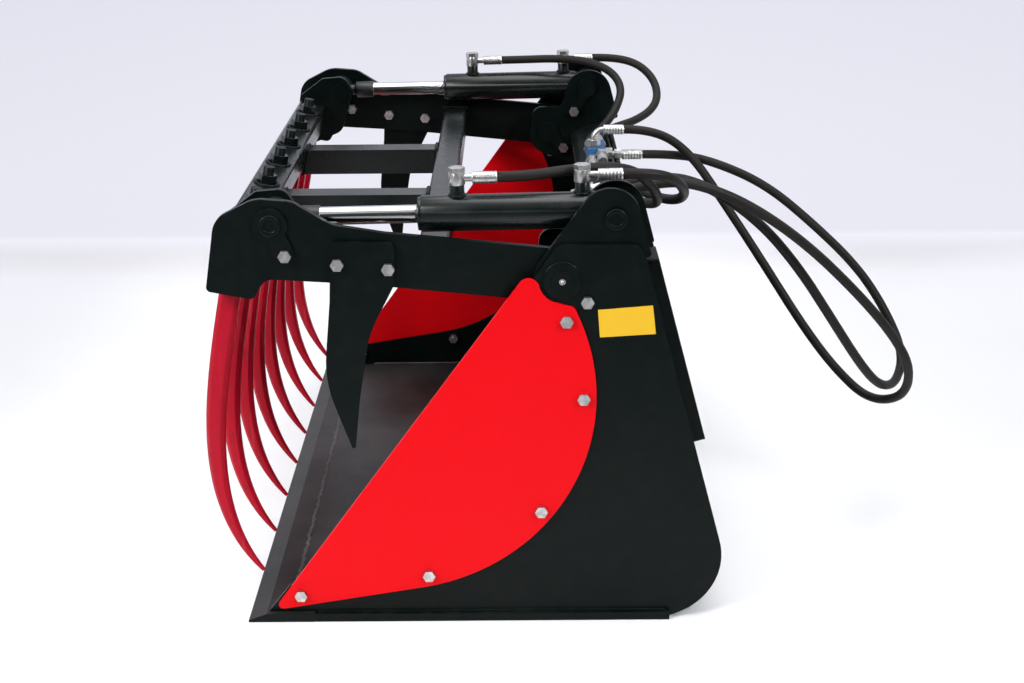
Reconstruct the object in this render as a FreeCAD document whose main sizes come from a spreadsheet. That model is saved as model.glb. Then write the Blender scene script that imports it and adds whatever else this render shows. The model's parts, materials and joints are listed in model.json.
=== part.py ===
"""Silage grab bucket: a bucket with a hydraulic tine grab that closes over its mouth.

Frame, in millimetres: the ground is Z = 0, the mouth looks along -X, the loader stands on the
+X side, and Y = 0 is the middle. Left is the -Y side. The grab is modelled closed.
"""
import FreeCAD
import Part
import math
import os

import Sketcher
from FreeCAD import Placement, Rotation, Vector

doc = FreeCAD.newDocument("SilageGrabBucket")
sizes = doc.addObject("Spreadsheet::Sheet", "Sizes")

DRIVING_SIZES = (
    # the bucket
    ("bucket_width", 1200, "across the outer faces of the side plates"),
    ("lip_x", -382, "front edge of the cutting edge"),
    ("blade_depth", 115, "cutting edge, front to back"),
    ("blade_thickness", 16, "cutting edge, also the height of the skids"),
    ("blade_bevel", 32, "length of the ground bevel"),
    ("blade_overhang", 10, "how far the blade stands out past each side plate"),
    ("sheet_thickness", 6, "floor and back sheet"),
    ("sheet_lap", 41, "how far the floor sheet lies on the blade"),
    ("bend_x", 317, "centre of the bend between floor and back"),
    ("bend_radius", 112, "outer radius of that bend"),
    ("back_lean", 15, "degrees that the back leans forward from upright"),
    ("back_height", 502, "straight length of the back sheet above the bend"),
    ("side_thickness", 8, "side plates"),
    ("side_top", 674, "top edge of the side plates"),
    ("side_corner_radius", 116, "rear bottom corner of the side plates"),
    ("side_margin", 2, "how far the side plates stand out behind the back sheet"),
    ("side_nose", 35, "tip of the side plate behind the front edge of the blade"),
    ("side_nose_rake", 39, "how far its blunt front end leans back"),
    ("side_lap", 40, "how far the guard laps over the side plate"),
    ("guard_thickness", 5, "bolted side guards"),
    ("guard_rear_x", 217, "rearmost point of the guard's round edge"),
    ("guard_low_z", 59, "lowest point that the full circle of that edge would reach"),
    ("guard_radius", 353, "radius of the guard's round edge"),
    ("guard_foot_slope", 9.4, "degrees of the guard's lower edge"),
    ("guard_edge_slope", 54, "degrees of the guard's straight front edge"),
    ("guard_edge_offset", 54, "from the pivot to the guard's straight edge"),
    ("guard_bolt_inset", 21, "bolts from the guard's edge"),
    ("guard_tip_bolt", 54, "first bolt from the guard's sharp tip, along the foot"),
    ("guard_shoulder", 59.4, "end of the round edge below the pivot"),
    ("side_shoulder", 46.5, "top of the hollow front below the pivot"),
    ("guard_cutout_radius", 38, "cut-out of the guard around the pivot"),
    ("wear_bar_height", 15, "bar welded along the foot of each side plate"),
    ("wear_bar_thickness", 10, "the same bar"),
    ("skid_width", 60, "skids under the floor"),
    ("skid_spacing", 380, "from skid to skid"),
    # the pins
    ("pivot_x", 160, "arm pivot"),
    ("pivot_z", 615, "arm pivot"),
    ("base_pin_x", 246, "pin of the cylinder's base"),
    ("base_pin_z", 715, "pin of the cylinder's base"),
    ("rod_pin_x", -308, "pin of the cylinder's rod, grab closed"),
    ("rod_pin_z", 705, "pin of the cylinder's rod, grab closed"),
    ("pivot_pin_radius", 17.5, "arm pivot pins"),
    ("cylinder_pin_radius", 15, "pins at both ends of the cylinders"),
    ("pin_clearance", 0.08, "radial running clearance of every pin"),
    ("pin_end", 6, "how far a pin stands out of its last plate"),
    # the ears
    ("outer_ear_thickness", 10, "ear inside the side plate"),
    ("inner_ear_thickness", 12, "ears on the inner side of the cylinders"),
    ("ear_radius", 51, "lobe of the outer ear around the base pin"),
    ("inner_ear_radius", 46, "lobes of the inner ear"),
    ("ear_bolt_x", 41, "bolt through side plate and outer ear, from the pivot"),
    ("ear_bolt_z", -37, "the same bolt"),
    ("boss_radius", 29, "ring on the side plate around the pivot pin"),
    ("boss_height", 5, "the same ring"),
    ("running_gap", 3, "side gap between moving and fixed plates"),
    # the grab
    ("arm_thickness", 12, "arm plates"),
    ("arm_hub_radius", 45, "rear end of the arm plate"),
    ("hub_tube_radius", 28, "tube welded to the arm around the pivot pin"),
    ("cylinder_bay", 69, "clear width between arm plate and nose ear"),
    ("nose_ear_thickness", 12, "plate that carries the inner end of the rod pin"),
    ("beam_size", 60, "square tube that carries the tines"),
    ("beam_wall", 5, "wall of that tube"),
    ("beam_lean", 12, "degrees that the beam and the tine shanks lean back"),
    ("beam_from_pin_x", -63, "centre of the beam from the rod pin"),
    ("beam_from_pin_z", -50, "centre of the beam from the rod pin"),
    ("frame_size", 50, "square tubes of the grab frame"),
    ("frame_wall", 4, "wall of those tubes"),
    ("frame_top", 655, "top face of those tubes"),
    ("cross_tube_x", -50, "middle of the tube that joins the arms"),
    ("frame_tube_y", 180, "middle of each lengthwise tube"),
    ("tine_count", 8, "tines across the beam"),
    ("tine_size", 35, "square section of a tine at its root"),
    ("tine_tip_size", 6, "section at the tip"),
    ("tine_length", 583, "along the centre line, below the beam"),
    ("tine_curl", 51, "degrees through which the tine curls"),
    ("tine_curl_power", 2.75, "how late the curl sets in"),
    ("tine_taper_power", 3.0, "how late the taper sets in"),
    ("shank_radius", 10, "threaded shank through the beam"),
    ("shank_clearance", 0.5, "radial clearance of bolts and shanks in their holes"),
    ("nut_across", 30, "tine nuts, across the flats"),
    ("nut_height", 18, "tine nuts"),
    ("knife_thickness", 10, "side knives, bolted outside the arms"),
    ("knife_from_pin_x", 148, "middle of the knife's head from the rod pin"),
    ("knife_from_pin_z", -27, "top of the knife's head from the rod pin"),
    ("knife_length", 370, "from head to tip"),
    # the cylinders
    ("barrel_radius", 30, "cylinder tube, outside"),
    ("bore_radius", 25, "cylinder bore"),
    ("barrel_length", 315, "base pin to the face of the gland"),
    ("gland_length", 40, "screwed gland"),
    ("gland_bore", 15, "piston rod radius"),
    ("eye_radius", 27, "eyes at both ends"),
    ("eye_width", 62, "eyes at both ends"),
    ("rod_collar_start", 38, "welded collar of the rod, from its pin"),
    ("rod_collar_end", 76, "welded collar of the rod, from its pin"),
    ("piston_gap", 5, "between the piston and the gland, grab closed"),
    ("piston_length", 30, "piston"),
    ("base_port", 51, "base port from the base pin"),
    ("rod_port", 254, "rod port from the base pin"),
    ("port_radius", 12, "welded port bosses"),
    ("port_height", 18, "port bosses above the barrel"),
    ("banjo_radius", 13.5, "banjo fittings"),
    ("banjo_height", 20, "banjo fittings"),
    ("fitting_across", 24, "hexagons of the hydraulic fittings, across the flats"),
    ("ferrule_radius", 9.5, "crimped ferrules"),
    ("ferrule_length", 40, "crimped ferrules"),
    ("ferrule_neck", 12, "neck between fitting and ferrule"),
    ("hose_radius", 8.7, "hydraulic hoses"),
    # the fasteners and the hitch
    ("bolt_radius", 6, "all hexagon bolts"),
    ("bolt_across", 19, "bolt heads and nuts across the flats"),
    ("bolt_head", 7.5, "height of a bolt head"),
    ("bolt_nut", 10.8, "height of a nut"),
    ("flag_radius", 28, "flag discs on the outer ends of the rod pins"),
    ("flag_toe", 14, "toe of a flag around its bolt"),
    ("hitch_spacing", 380, "between the middles of the two hitch strips"),
    ("hitch_width", 80, "hitch strips"),
    ("hitch_length", 380, "hitch strips, along the back"),
    ("hitch_thickness", 25, "hitch strips"),
    ("hitch_foot", 8.6, "lower end of the strips above the bend"),
    ("hitch_pitch", 150, "between the three tapped holes of a strip"),
    ("hitch_thread_radius", 8.75, "core of an M20 thread"),
    # the manifold and the rear member
    ("member_depth", 85, "rear cross member, front to back"),
    ("member_height", 60, "rear cross member, along the back"),
    ("manifold_y", 110, "middle of the manifold block"),
    ("manifold_depth", 36, "manifold block, front to back"),
    ("manifold_width", 84, "manifold block, across"),
    ("manifold_height", 34, "manifold block"),
    ("manifold_rise", 4.5, "foot of the block above the rear cross member"),
    ("feed_setback", 14, "extra length of the straight feed fitting"),
    ("holder_from_ear", 108, "middle of the coupler holder from the left inner ear"),
    ("coupler_spacing", 44, "between the two quick couplers"),
    ("coupler_height", 72, "axis of the couplers above the rear cross member"),
    ("coupler_radius", 14, "quick couplers"),
)

DERIVED_SIZES = (
    ("half_width", "=bucket_width / 2", "outer face of a side plate"),
    ("side_inner", "=half_width - side_thickness", "inner face of a side plate"),
    ("arm_outer", "=side_inner - outer_ear_thickness - running_gap", "outer face of an arm"),
    ("arm_inner", "=arm_outer - arm_thickness", "inner face of an arm"),
    ("ear_outer", "=arm_inner - cylinder_bay", "outer face of the inner ears"),
    ("ear_inner", "=ear_outer - inner_ear_thickness", "inner face of the inner ears"),
    ("cylinder_y", "=arm_inner - cylinder_bay / 2", "middle plane of a cylinder"),
    ("tine_pitch", "=2 * cylinder_y / (tine_count - 1)", "from tine to tine"),
    ("bend_z", "=blade_thickness + bend_radius", "centre of the bend"),
    ("guard_arc_x", "=guard_rear_x - guard_radius", "centre of the guard's round edge"),
    ("guard_arc_z", "=guard_low_z + guard_radius", "centre of the guard's round edge"),
    ("holder_y", "=holder_from_ear - ear_inner", "middle of the coupler holder"),
    ("cylinder_length", "=sqrt((base_pin_x - rod_pin_x) ^ 2 + (base_pin_z - rod_pin_z) ^ 2)",
     "from pin to pin, grab closed"),
    ("piston_from_pin", "=cylinder_length - barrel_length + gland_length + piston_gap",
     "front face of the piston from the rod pin"),
    ("beam_x", "=rod_pin_x + beam_from_pin_x", "centre of the beam"),
    ("beam_z", "=rod_pin_z + beam_from_pin_z", "centre of the beam"),
    ("pivot_hole", "=pivot_pin_radius + pin_clearance", "hole for a pivot pin"),
    ("cylinder_pin_hole", "=cylinder_pin_radius + pin_clearance", "hole for a cylinder pin"),
    ("bolt_hole", "=bolt_radius + shank_clearance", "hole for a bolt"),
    ("piston_radius", "=bore_radius - pin_clearance", "piston"),
    ("gland_hole", "=gland_bore + pin_clearance", "hole of the gland"),
)


def fill_sheet():
    """Writes the driving sizes and the sizes that follow from them."""
    for row, (alias, content, meaning) in enumerate(DRIVING_SIZES + DERIVED_SIZES, 1):
        sizes.set(f"A{row}", meaning)
        sizes.set(f"B{row}", str(content))
        sizes.setAlias(f"B{row}", alias)
    doc.recompute()


def size(alias):
    """Value of a named size."""
    return float(sizes.get(alias))


fill_sheet()

SIDES = {"left": -1, "right": 1}
PIVOT = (size("pivot_x"), size("pivot_z"))
BASE_PIN = (size("base_pin_x"), size("base_pin_z"))
ROD_PIN = (size("rod_pin_x"), size("rod_pin_z"))
BEND = (size("bend_x"), size("bend_z"))
GUARD_ARC = (size("guard_arc_x"), size("guard_arc_z"))
LEAN = math.radians(size("back_lean"))
CYLINDER_ANGLE = math.degrees(math.atan2(BASE_PIN[1] - ROD_PIN[1], BASE_PIN[0] - ROD_PIN[0]))
LOCK_BOLTS = ((BASE_PIN, (-29, -52)), (PIVOT, (34, -34)))
parts = []
hose_ends = {}


def moved(point, x, z):
    """Point shifted in the XZ plane."""
    return (point[0] + x, point[1] + z)


def on_back(behind, up):
    """Point given by its distance behind the back sheet and its height along it."""
    reach = size("bend_radius") + behind
    return (
        BEND[0] + reach * math.cos(LEAN) - up * math.sin(LEAN),
        BEND[1] + reach * math.sin(LEAN) + up * math.cos(LEAN),
    )


def on_beam(back, up):
    """Point given in the leaning frame of the tine beam."""
    lean = math.radians(size("beam_lean"))
    return (
        size("beam_x") + back * math.cos(lean) + up * math.sin(lean),
        size("beam_z") - back * math.sin(lean) + up * math.cos(lean),
    )


def corner(point, radius=0.0):
    """Corner of an outline, with the radius that rounds it."""
    return (point[0], point[1], radius)


def arc_corner(centre, radius, from_deg, to_deg):
    """Corner whose rounding is the arc of a circle between two headings, in degrees."""
    middle = math.radians(from_deg + to_deg) / 2
    reach = radius / math.cos(math.radians(to_deg - from_deg) / 2)
    place = (centre[0] + reach * math.sin(middle), centre[1] - reach * math.cos(middle))
    return corner(place, abs(radius))


def heading(start, end):
    """Direction from one point to the other, in degrees."""
    return math.degrees(math.atan2(end[1] - start[1], end[0] - start[0]))


def tangent_heading(centre_a, radius_a, centre_b, radius_b):
    """Heading of the belt line from circle a to circle b, both on its left."""
    distance = math.dist(centre_a, centre_b)
    return heading(centre_a, centre_b) - math.degrees(math.asin((radius_b - radius_a) / distance))


def role_plane(body, role):
    """Origin plane of a body."""
    return next(plane for plane in body.Origin.OriginFeatures if plane.Role == role)


def add_sketch(body, name, role="XZ_Plane", offset=None):
    """Empty sketch on one of the body's own origin planes."""
    sketch = body.newObject("Sketcher::SketchObject", name)
    sketch.AttachmentSupport = [(role_plane(body, role), "")]
    sketch.MapMode = "FlatFace"
    if offset is not None:
        sketch.AttachmentOffset = offset
    return sketch


def draw_outline(sketch, corners):
    """Closed outline through the corners, rounded where they have a radius."""
    first = sketch.GeometryCount
    pieces = []
    ends = []
    count = len(corners)
    for index, (across, up, radius) in enumerate(corners):
        here = Vector(across, up, 0)
        back = (Vector(*corners[index - 1][:2], 0) - here).normalize()
        ahead = (Vector(*corners[(index + 1) % count][:2], 0) - here).normalize()
        half = back.getAngle(ahead) / 2
        if radius <= 0 or half > math.radians(89.9):
            ends.append((here, here, None))
            continue
        trim = radius / math.tan(half)
        centre = here + (back + ahead).normalize() * (radius / math.sin(half))
        ends.append((here + back * trim, here + ahead * trim, centre))
    for index, (enter, leave, centre) in enumerate(ends):
        if centre is not None:
            start = math.atan2(enter.y - centre.y, enter.x - centre.x)
            stop = math.atan2(leave.y - centre.y, leave.x - centre.x)
            left_turn = (stop - start) % math.tau < math.pi
            low, high = (start, stop) if left_turn else (stop, start)
            circle = Part.Circle(centre, Vector(0, 0, 1), corners[index][2])
            pieces.append((Part.ArcOfCircle(circle, low, low + (high - low) % math.tau), left_turn))
        following = ends[(index + 1) % count][0]
        if leave.distanceToPoint(following) > 1e-4:
            pieces.append((Part.LineSegment(leave, following), True))
    sketch.addGeometry([piece for piece, _ in pieces], False)
    for index, (_, forward) in enumerate(pieces):
        after = (index + 1) % len(pieces)
        leaving = 2 if forward else 1
        entering = 1 if pieces[after][1] else 2
        sketch.addConstraint(
            Sketcher.Constraint("Coincident", first + index, leaving, first + after, entering)
        )


def draw_hole(sketch, name, across, up, radius):
    """Circle whose centre and radius follow expressions on the sizes."""
    values = [float(sketch.evalExpression(text)) for text in (across, up, radius)]
    circle = Part.Circle(Vector(values[0], values[1], 0), Vector(0, 0, 1), values[2])
    place = sketch.addGeometry(circle, False)
    bound = (
        ("x", Sketcher.Constraint("DistanceX", -1, 1, place, 3, values[0]), across),
        ("z", Sketcher.Constraint("DistanceY", -1, 1, place, 3, values[1]), up),
        ("radius", Sketcher.Constraint("Radius", place, values[2]), radius),
    )
    for kind, constraint, text in bound:
        index = sketch.addConstraint(constraint)
        sketch.renameConstraint(index, f"{name}_{kind}")
        sketch.setExpression(f"Constraints.{name}_{kind}", text)


def meet(point_a, heading_a, point_b, heading_b):
    """Where the line through a meets the line through b."""
    along_a = (math.cos(math.radians(heading_a)), math.sin(math.radians(heading_a)))
    along_b = (math.cos(math.radians(heading_b)), math.sin(math.radians(heading_b)))
    gap = (point_b[0] - point_a[0], point_b[1] - point_a[1])
    cross = along_a[0] * along_b[1] - along_a[1] * along_b[0]
    reach = (gap[0] * along_b[1] - gap[1] * along_b[0]) / cross
    return (point_a[0] + reach * along_a[0], point_a[1] + reach * along_a[1])


def on_circle(centre, radius, at_heading):
    """Point of a circle where a left turn around it has this heading."""
    angle = math.radians(at_heading)
    return (centre[0] + radius * math.sin(angle), centre[1] - radius * math.cos(angle))


def keep(part, name):
    """Takes an object as a finished sub-part under its own name."""
    part.Label = name
    parts.append(part)
    return part


def pin_hole(pin, hole):
    """Hole on one of the pin axes, as the expressions of its centre and radius."""
    return (pin, f"Sizes.{pin}_x", f"Sizes.{pin}_z", f"Sizes.{hole}")


def bolt_holes(places):
    """Bolt holes at the given places."""
    return [(f"bolt_{n}", str(x), str(z), "Sizes.bolt_hole") for n, (x, z) in enumerate(places, 1)]


def add_pad(body, name, sketch, length, toward_y=True, both_ways=False):
    """Pad of a sketch in the XZ plane, towards +Y, towards -Y or half each way."""
    pad = body.newObject("PartDesign::Pad", name)
    pad.Profile = sketch
    pad.SideType = "Symmetric" if both_ways else "One side"
    pad.Reversed = toward_y and not both_ways
    pad.setExpression("Length", length)
    return pad


def plate(name, corners, side, outer, thickness, holes=()):
    """Upright plate, cut to an outline, whose outer face lies at a distance from the middle."""
    body = doc.addObject("PartDesign::Body", name)
    sketch = add_sketch(body, f"{name}_outline")
    draw_outline(sketch, corners)
    for hole in holes:
        draw_hole(sketch, *hole)
    add_pad(body, f"{name}_pad", sketch, f"Sizes.{thickness}")
    low_face = f"-({outer})" if side == "left" else f"{outer} - Sizes.{thickness}"
    body.setExpression("Placement.Base.y", low_face)
    return keep(body, name)


def add_ring(body, name, side, inward, thickness, reach, pin, hole, radius):
    """Ring around a pin that stands out of a plate, inwards or outwards."""
    toward_y = (side == "left") == inward
    sketch = add_sketch(body, f"{name}_sketch")
    draw_hole(sketch, "rim", f"Sizes.{pin}_x", f"Sizes.{pin}_z", f"Sizes.{radius}")
    draw_hole(sketch, "hole", f"Sizes.{pin}_x", f"Sizes.{pin}_z", f"Sizes.{hole}")
    length = f"Sizes.{thickness} + {reach}" if toward_y else reach
    return add_pad(body, name, sketch, length, toward_y)


def extrusion(name, outlines, length, y_place="0"):
    """Bar of a given section that lies across the bucket, centred on its place."""
    body = doc.addObject("PartDesign::Body", name)
    sketch = add_sketch(body, f"{name}_section")
    for corners in outlines:
        draw_outline(sketch, corners)
    add_pad(body, f"{name}_pad", sketch, length, both_ways=True)
    body.setExpression("Placement.Base.y", y_place)
    return keep(body, name)


def square_section(side_length, wall, outer_radius):
    """Outer and inner outline of a square tube around the origin."""
    outer = side_length / 2
    inner = outer - wall
    turns = ((-1, -1), (1, -1), (1, 1), (-1, 1))
    return (
        [(x * outer, z * outer, outer_radius) for x, z in turns],
        [(x * inner, z * inner, outer_radius - wall / 2) for x, z in turns],
    )


def turned(name, profile, placement):
    """Body turned around its local X axis from points of (place along the axis, radius)."""
    body = doc.addObject("PartDesign::Body", name)
    sketch = add_sketch(body, f"{name}_profile", "XY_Plane")
    draw_outline(sketch, [(along, radius, 0) for along, radius in profile])
    revolution = body.newObject("PartDesign::Revolution", f"{name}_turning")
    revolution.Profile = sketch
    revolution.ReferenceAxis = (sketch, ["H_Axis"])
    revolution.Angle = 360
    body.Placement = placement
    return body


def cylinder(name, radius, length, base, direction):
    """Round bar from a point along a direction; radius and length are expressions."""
    bar = doc.addObject("Part::Cylinder", name)
    bar.setExpression("Radius", radius)
    bar.setExpression("Height", length)
    bar.Placement = Placement(base, Rotation(Vector(0, 0, 1), direction))
    return bar


def hexagon(name, across, length, base, direction):
    """Hexagon bar from a point along a direction; sizes are expressions."""
    bar = doc.addObject("Part::Prism", name)
    bar.Polygon = 6
    bar.setExpression("Circumradius", f"{across} / sqrt(3)")
    bar.setExpression("Height", length)
    bar.Placement = Placement(base, Rotation(Vector(0, 0, 1), direction))
    return bar


def block(name, low, high):
    """Box between two corners."""
    box = doc.addObject("Part::Box", name)
    box.Length = high[0] - low[0]
    box.Width = high[1] - low[1]
    box.Height = high[2] - low[2]
    box.Placement.Base = Vector(*low)
    return box


def fused(name, members):
    """Members welded into one solid."""
    fusion = doc.addObject("Part::MultiFuse", name)
    fusion.Shapes = members
    return fusion


def bored(name, body, bore):
    """One object with another cut out of it."""
    cut = doc.addObject("Part::Cut", name)
    cut.Base = body
    cut.Tool = bore
    return cut


def group(name, members):
    """Sub-part of several separate solids of one kind."""
    compound = doc.addObject("Part::Compound", name)
    compound.Links = members
    return keep(compound, name)


def bolt_with_nut(name, place, head_face, outward, grip):
    """Hexagon bolt through a grip, with its nut; outward is the head's side along Y."""
    out = Vector(0, outward, 0)
    head_base = Vector(place[0], head_face, place[1])
    nut_base = head_base - out * grip
    end = nut_base - out * (size("bolt_nut") + 3)
    shank_length = f"{grip + 3} + Sizes.bolt_nut + Sizes.bolt_head / 2"
    head = hexagon(f"{name}_head", "Sizes.bolt_across", "Sizes.bolt_head", head_base, out)
    shank = cylinder(f"{name}_shank", "Sizes.bolt_radius", shank_length, end, out)
    nut = hexagon(f"{name}_nut_bar", "Sizes.bolt_across", "Sizes.bolt_nut", nut_base, -out)
    bore = cylinder(f"{name}_nut_bore", "Sizes.bolt_radius + Sizes.pin_clearance",
                    "Sizes.bolt_nut + 2", nut_base + out, -out)
    return [fused(f"{name}_bolt", [head, shank]), bored(f"{name}_nut", nut, bore)]


def guard_end_heading(radius, shoulder):
    """Heading at which a circle around the guard's arc centre reaches a shoulder."""
    rise = PIVOT[1] - shoulder - GUARD_ARC[1]
    return 90 + math.degrees(math.asin(rise / radius))


def guard_edge_point():
    """Point of the guard's straight front edge that is nearest to the pivot."""
    edge = math.radians(size("guard_edge_slope"))
    offset = size("guard_edge_offset")
    return moved(PIVOT, -offset * math.sin(edge), offset * math.cos(edge))


def guard_tip():
    """Sharp tip where the guard's foot and its straight edge would meet."""
    foot = size("guard_foot_slope")
    return meet(on_circle(GUARD_ARC, size("guard_radius"), foot), foot,
                guard_edge_point(), size("guard_edge_slope"))


def guard_bolt_places():
    """Places of the guard's bolts: four along its round edge, one near its tip."""
    edge = size("guard_radius")
    inset = size("guard_bolt_inset")
    headings = (guard_end_heading(edge, size("guard_shoulder")), 90, 52, 12)
    places = [on_circle(GUARD_ARC, edge - inset, heading) for heading in headings]
    foot = math.radians(size("guard_foot_slope"))
    along = size("guard_tip_bolt")
    places.append(moved(guard_tip(), along * math.cos(foot) - inset * math.sin(foot),
                        along * math.sin(foot) + inset * math.cos(foot)))
    return places


def guard_corners():
    """Outline of the red guard: a round edge, a straight edge and a cut-out at the pivot."""
    radius = size("guard_radius")
    end_heading = guard_end_heading(radius, size("guard_shoulder"))
    cutout = size("guard_cutout_radius")
    return [
        corner(guard_tip(), 8),
        arc_corner(GUARD_ARC, radius, size("guard_foot_slope"), end_heading),
        corner(meet(on_circle(GUARD_ARC, radius, end_heading), end_heading,
                    on_circle(PIVOT, -cutout, 165), 165), 10),
        arc_corner(PIVOT, -cutout, 165, 105),
        corner(meet(on_circle(PIVOT, -cutout, 105), 105,
                    guard_edge_point(), size("guard_edge_slope")), 18),
    ]


def side_corners():
    """Outline of the side plate: a foot on the blade, a round rear corner, a hollow front."""
    top = size("side_top")
    blade_top = size("blade_thickness")
    blade_end = size("lip_x") + size("blade_depth")
    rear_heading = 90 + size("back_lean")
    rear_point = on_back(size("side_margin"), 0)
    inner_radius = size("guard_radius") - size("side_lap")
    foot = size("guard_foot_slope")
    hollow_point = on_circle(GUARD_ARC, inner_radius, foot)
    hollow_start = guard_end_heading(inner_radius, size("side_shoulder")) + 180
    nose = size("lip_x") + size("side_nose")
    nose_top = meet(hollow_point, foot, (nose + size("side_nose_rake"), 0), 90)
    return [
        corner((nose, blade_top)),
        corner((blade_end, blade_top)),
        corner((blade_end, 0)),
        corner(meet((0, 0), 0, rear_point, rear_heading), size("side_corner_radius")),
        corner(meet((0, top), 0, rear_point, rear_heading), 25),
        corner((PIVOT[0] - 7, top), 20),
        corner(moved(PIVOT, -50, -3), 15),
        arc_corner(GUARD_ARC, -inner_radius, hollow_start, 180 + foot),
        corner(nose_top, 6),
    ]


def outer_ear_corners():
    """Outline of the outer ear: a lobe around each pin, a foot at the rear, a seam on the back."""
    lobe = moved(BASE_PIN, -9, 0)
    radius = size("ear_radius") - 2
    pivot_radius = size("inner_ear_radius")
    slope = tangent_heading(lobe, radius, PIVOT, pivot_radius) % 360
    rear = 90 + size("back_lean")
    foot = (0, size("side_top") - 24)
    inner_face = -size("sheet_thickness")
    return [
        arc_corner(PIVOT, pivot_radius, slope, 350),
        corner(on_back(inner_face, size("back_height") - 100)),
        corner(meet(foot, 0, on_back(inner_face, 0), rear)),
        corner(meet(on_circle(lobe, radius, rear), rear, foot, 0), 6),
        arc_corner(lobe, radius, rear, slope),
    ]


def inner_ear_corners():
    """Outline of the inner ear, which stands on the back sheet and reaches over its top."""
    lobe = moved(BASE_PIN, 4, -12)
    radius = size("inner_ear_radius") + 4
    rear = 90 + size("back_lean")
    inner_face = -size("sheet_thickness")
    sheet_top = size("back_height")
    rear_point = on_circle(lobe, radius, rear)
    behind_top = meet(on_back(0, sheet_top), size("back_lean"), rear_point, rear)
    return [
        arc_corner(PIVOT, 42, 270, 350),
        corner(on_back(inner_face, sheet_top - 145), 0),
        corner(on_back(inner_face, sheet_top), 0),
        corner(behind_top, 5),
        arc_corner(lobe, radius, rear, 255),
        corner(moved(PIVOT, 30, 57), 10),
        corner(moved(PIVOT, -34, 57), 22),
    ]


def arm_corners():
    """Outline of the arm: a round hub, a slender waist and a broad nose over the tines."""
    hub = size("arm_hub_radius")
    return [
        corner(moved(ROD_PIN, -111, -111), 8),
        corner(moved(ROD_PIN, -34, -126), 12),
        corner(moved(ROD_PIN, -14, -91), 22),
        corner(moved(ROD_PIN, 146, -101), 300),
        arc_corner(PIVOT, hub, -6, 85),
        arc_corner(PIVOT, hub, 85, 175),
        corner(moved(ROD_PIN, 182, -15), 200),
        corner(moved(ROD_PIN, 98, -1), 60),
        corner(moved(ROD_PIN, 36, 38), 45),
        corner(moved(ROD_PIN, -24, 43), 60),
        corner(moved(ROD_PIN, -90, 10), 40),
    ]


def nose_ear_corners():
    """Outline of the nose ear, which is notched around the beam and holds the rod pin."""
    half = size("beam_size") / 2
    return [
        corner(on_beam(-half, half)),
        corner(on_beam(half, half)),
        corner(on_beam(half, -half)),
        corner(on_beam(-half, -half)),
        corner(on_beam(-half, -half - 25), 14),
        corner(on_beam(12, -half - 31), 20),
        corner(moved(ROD_PIN, 6, -84), 30),
        corner(moved(ROD_PIN, 34, 6), 22),
        corner(moved(ROD_PIN, 14, 38), 22),
        corner(moved(ROD_PIN, -34, 34), 16),
        corner(on_beam(-half, half + 12), 8),
    ]


def knife_corners():
    """Outline of the side knife: a square head and a blade that narrows and curls back."""
    head = moved(ROD_PIN, size("knife_from_pin_x"), size("knife_from_pin_z"))
    length = size("knife_length")
    return [
        corner(moved(head, -52, 0), 8),
        corner(moved(head, -57, -0.265 * length), 200),
        corner(moved(head, -72, -0.643 * length), 220),
        corner(moved(head, -27, -length), 3),
        corner(moved(head, -16, -0.75 * length), 250),
        corner(moved(head, 4, -0.43 * length), 220),
        corner(moved(head, 50, -70), 55),
        corner(moved(head, 51, -2), 10),
    ]


def knife_bolt_places():
    """Two bolts in the head of the knife."""
    head = moved(ROD_PIN, size("knife_from_pin_x"), size("knife_from_pin_z"))
    return [moved(head, -42, -37), moved(head, 40, -45)]


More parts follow.
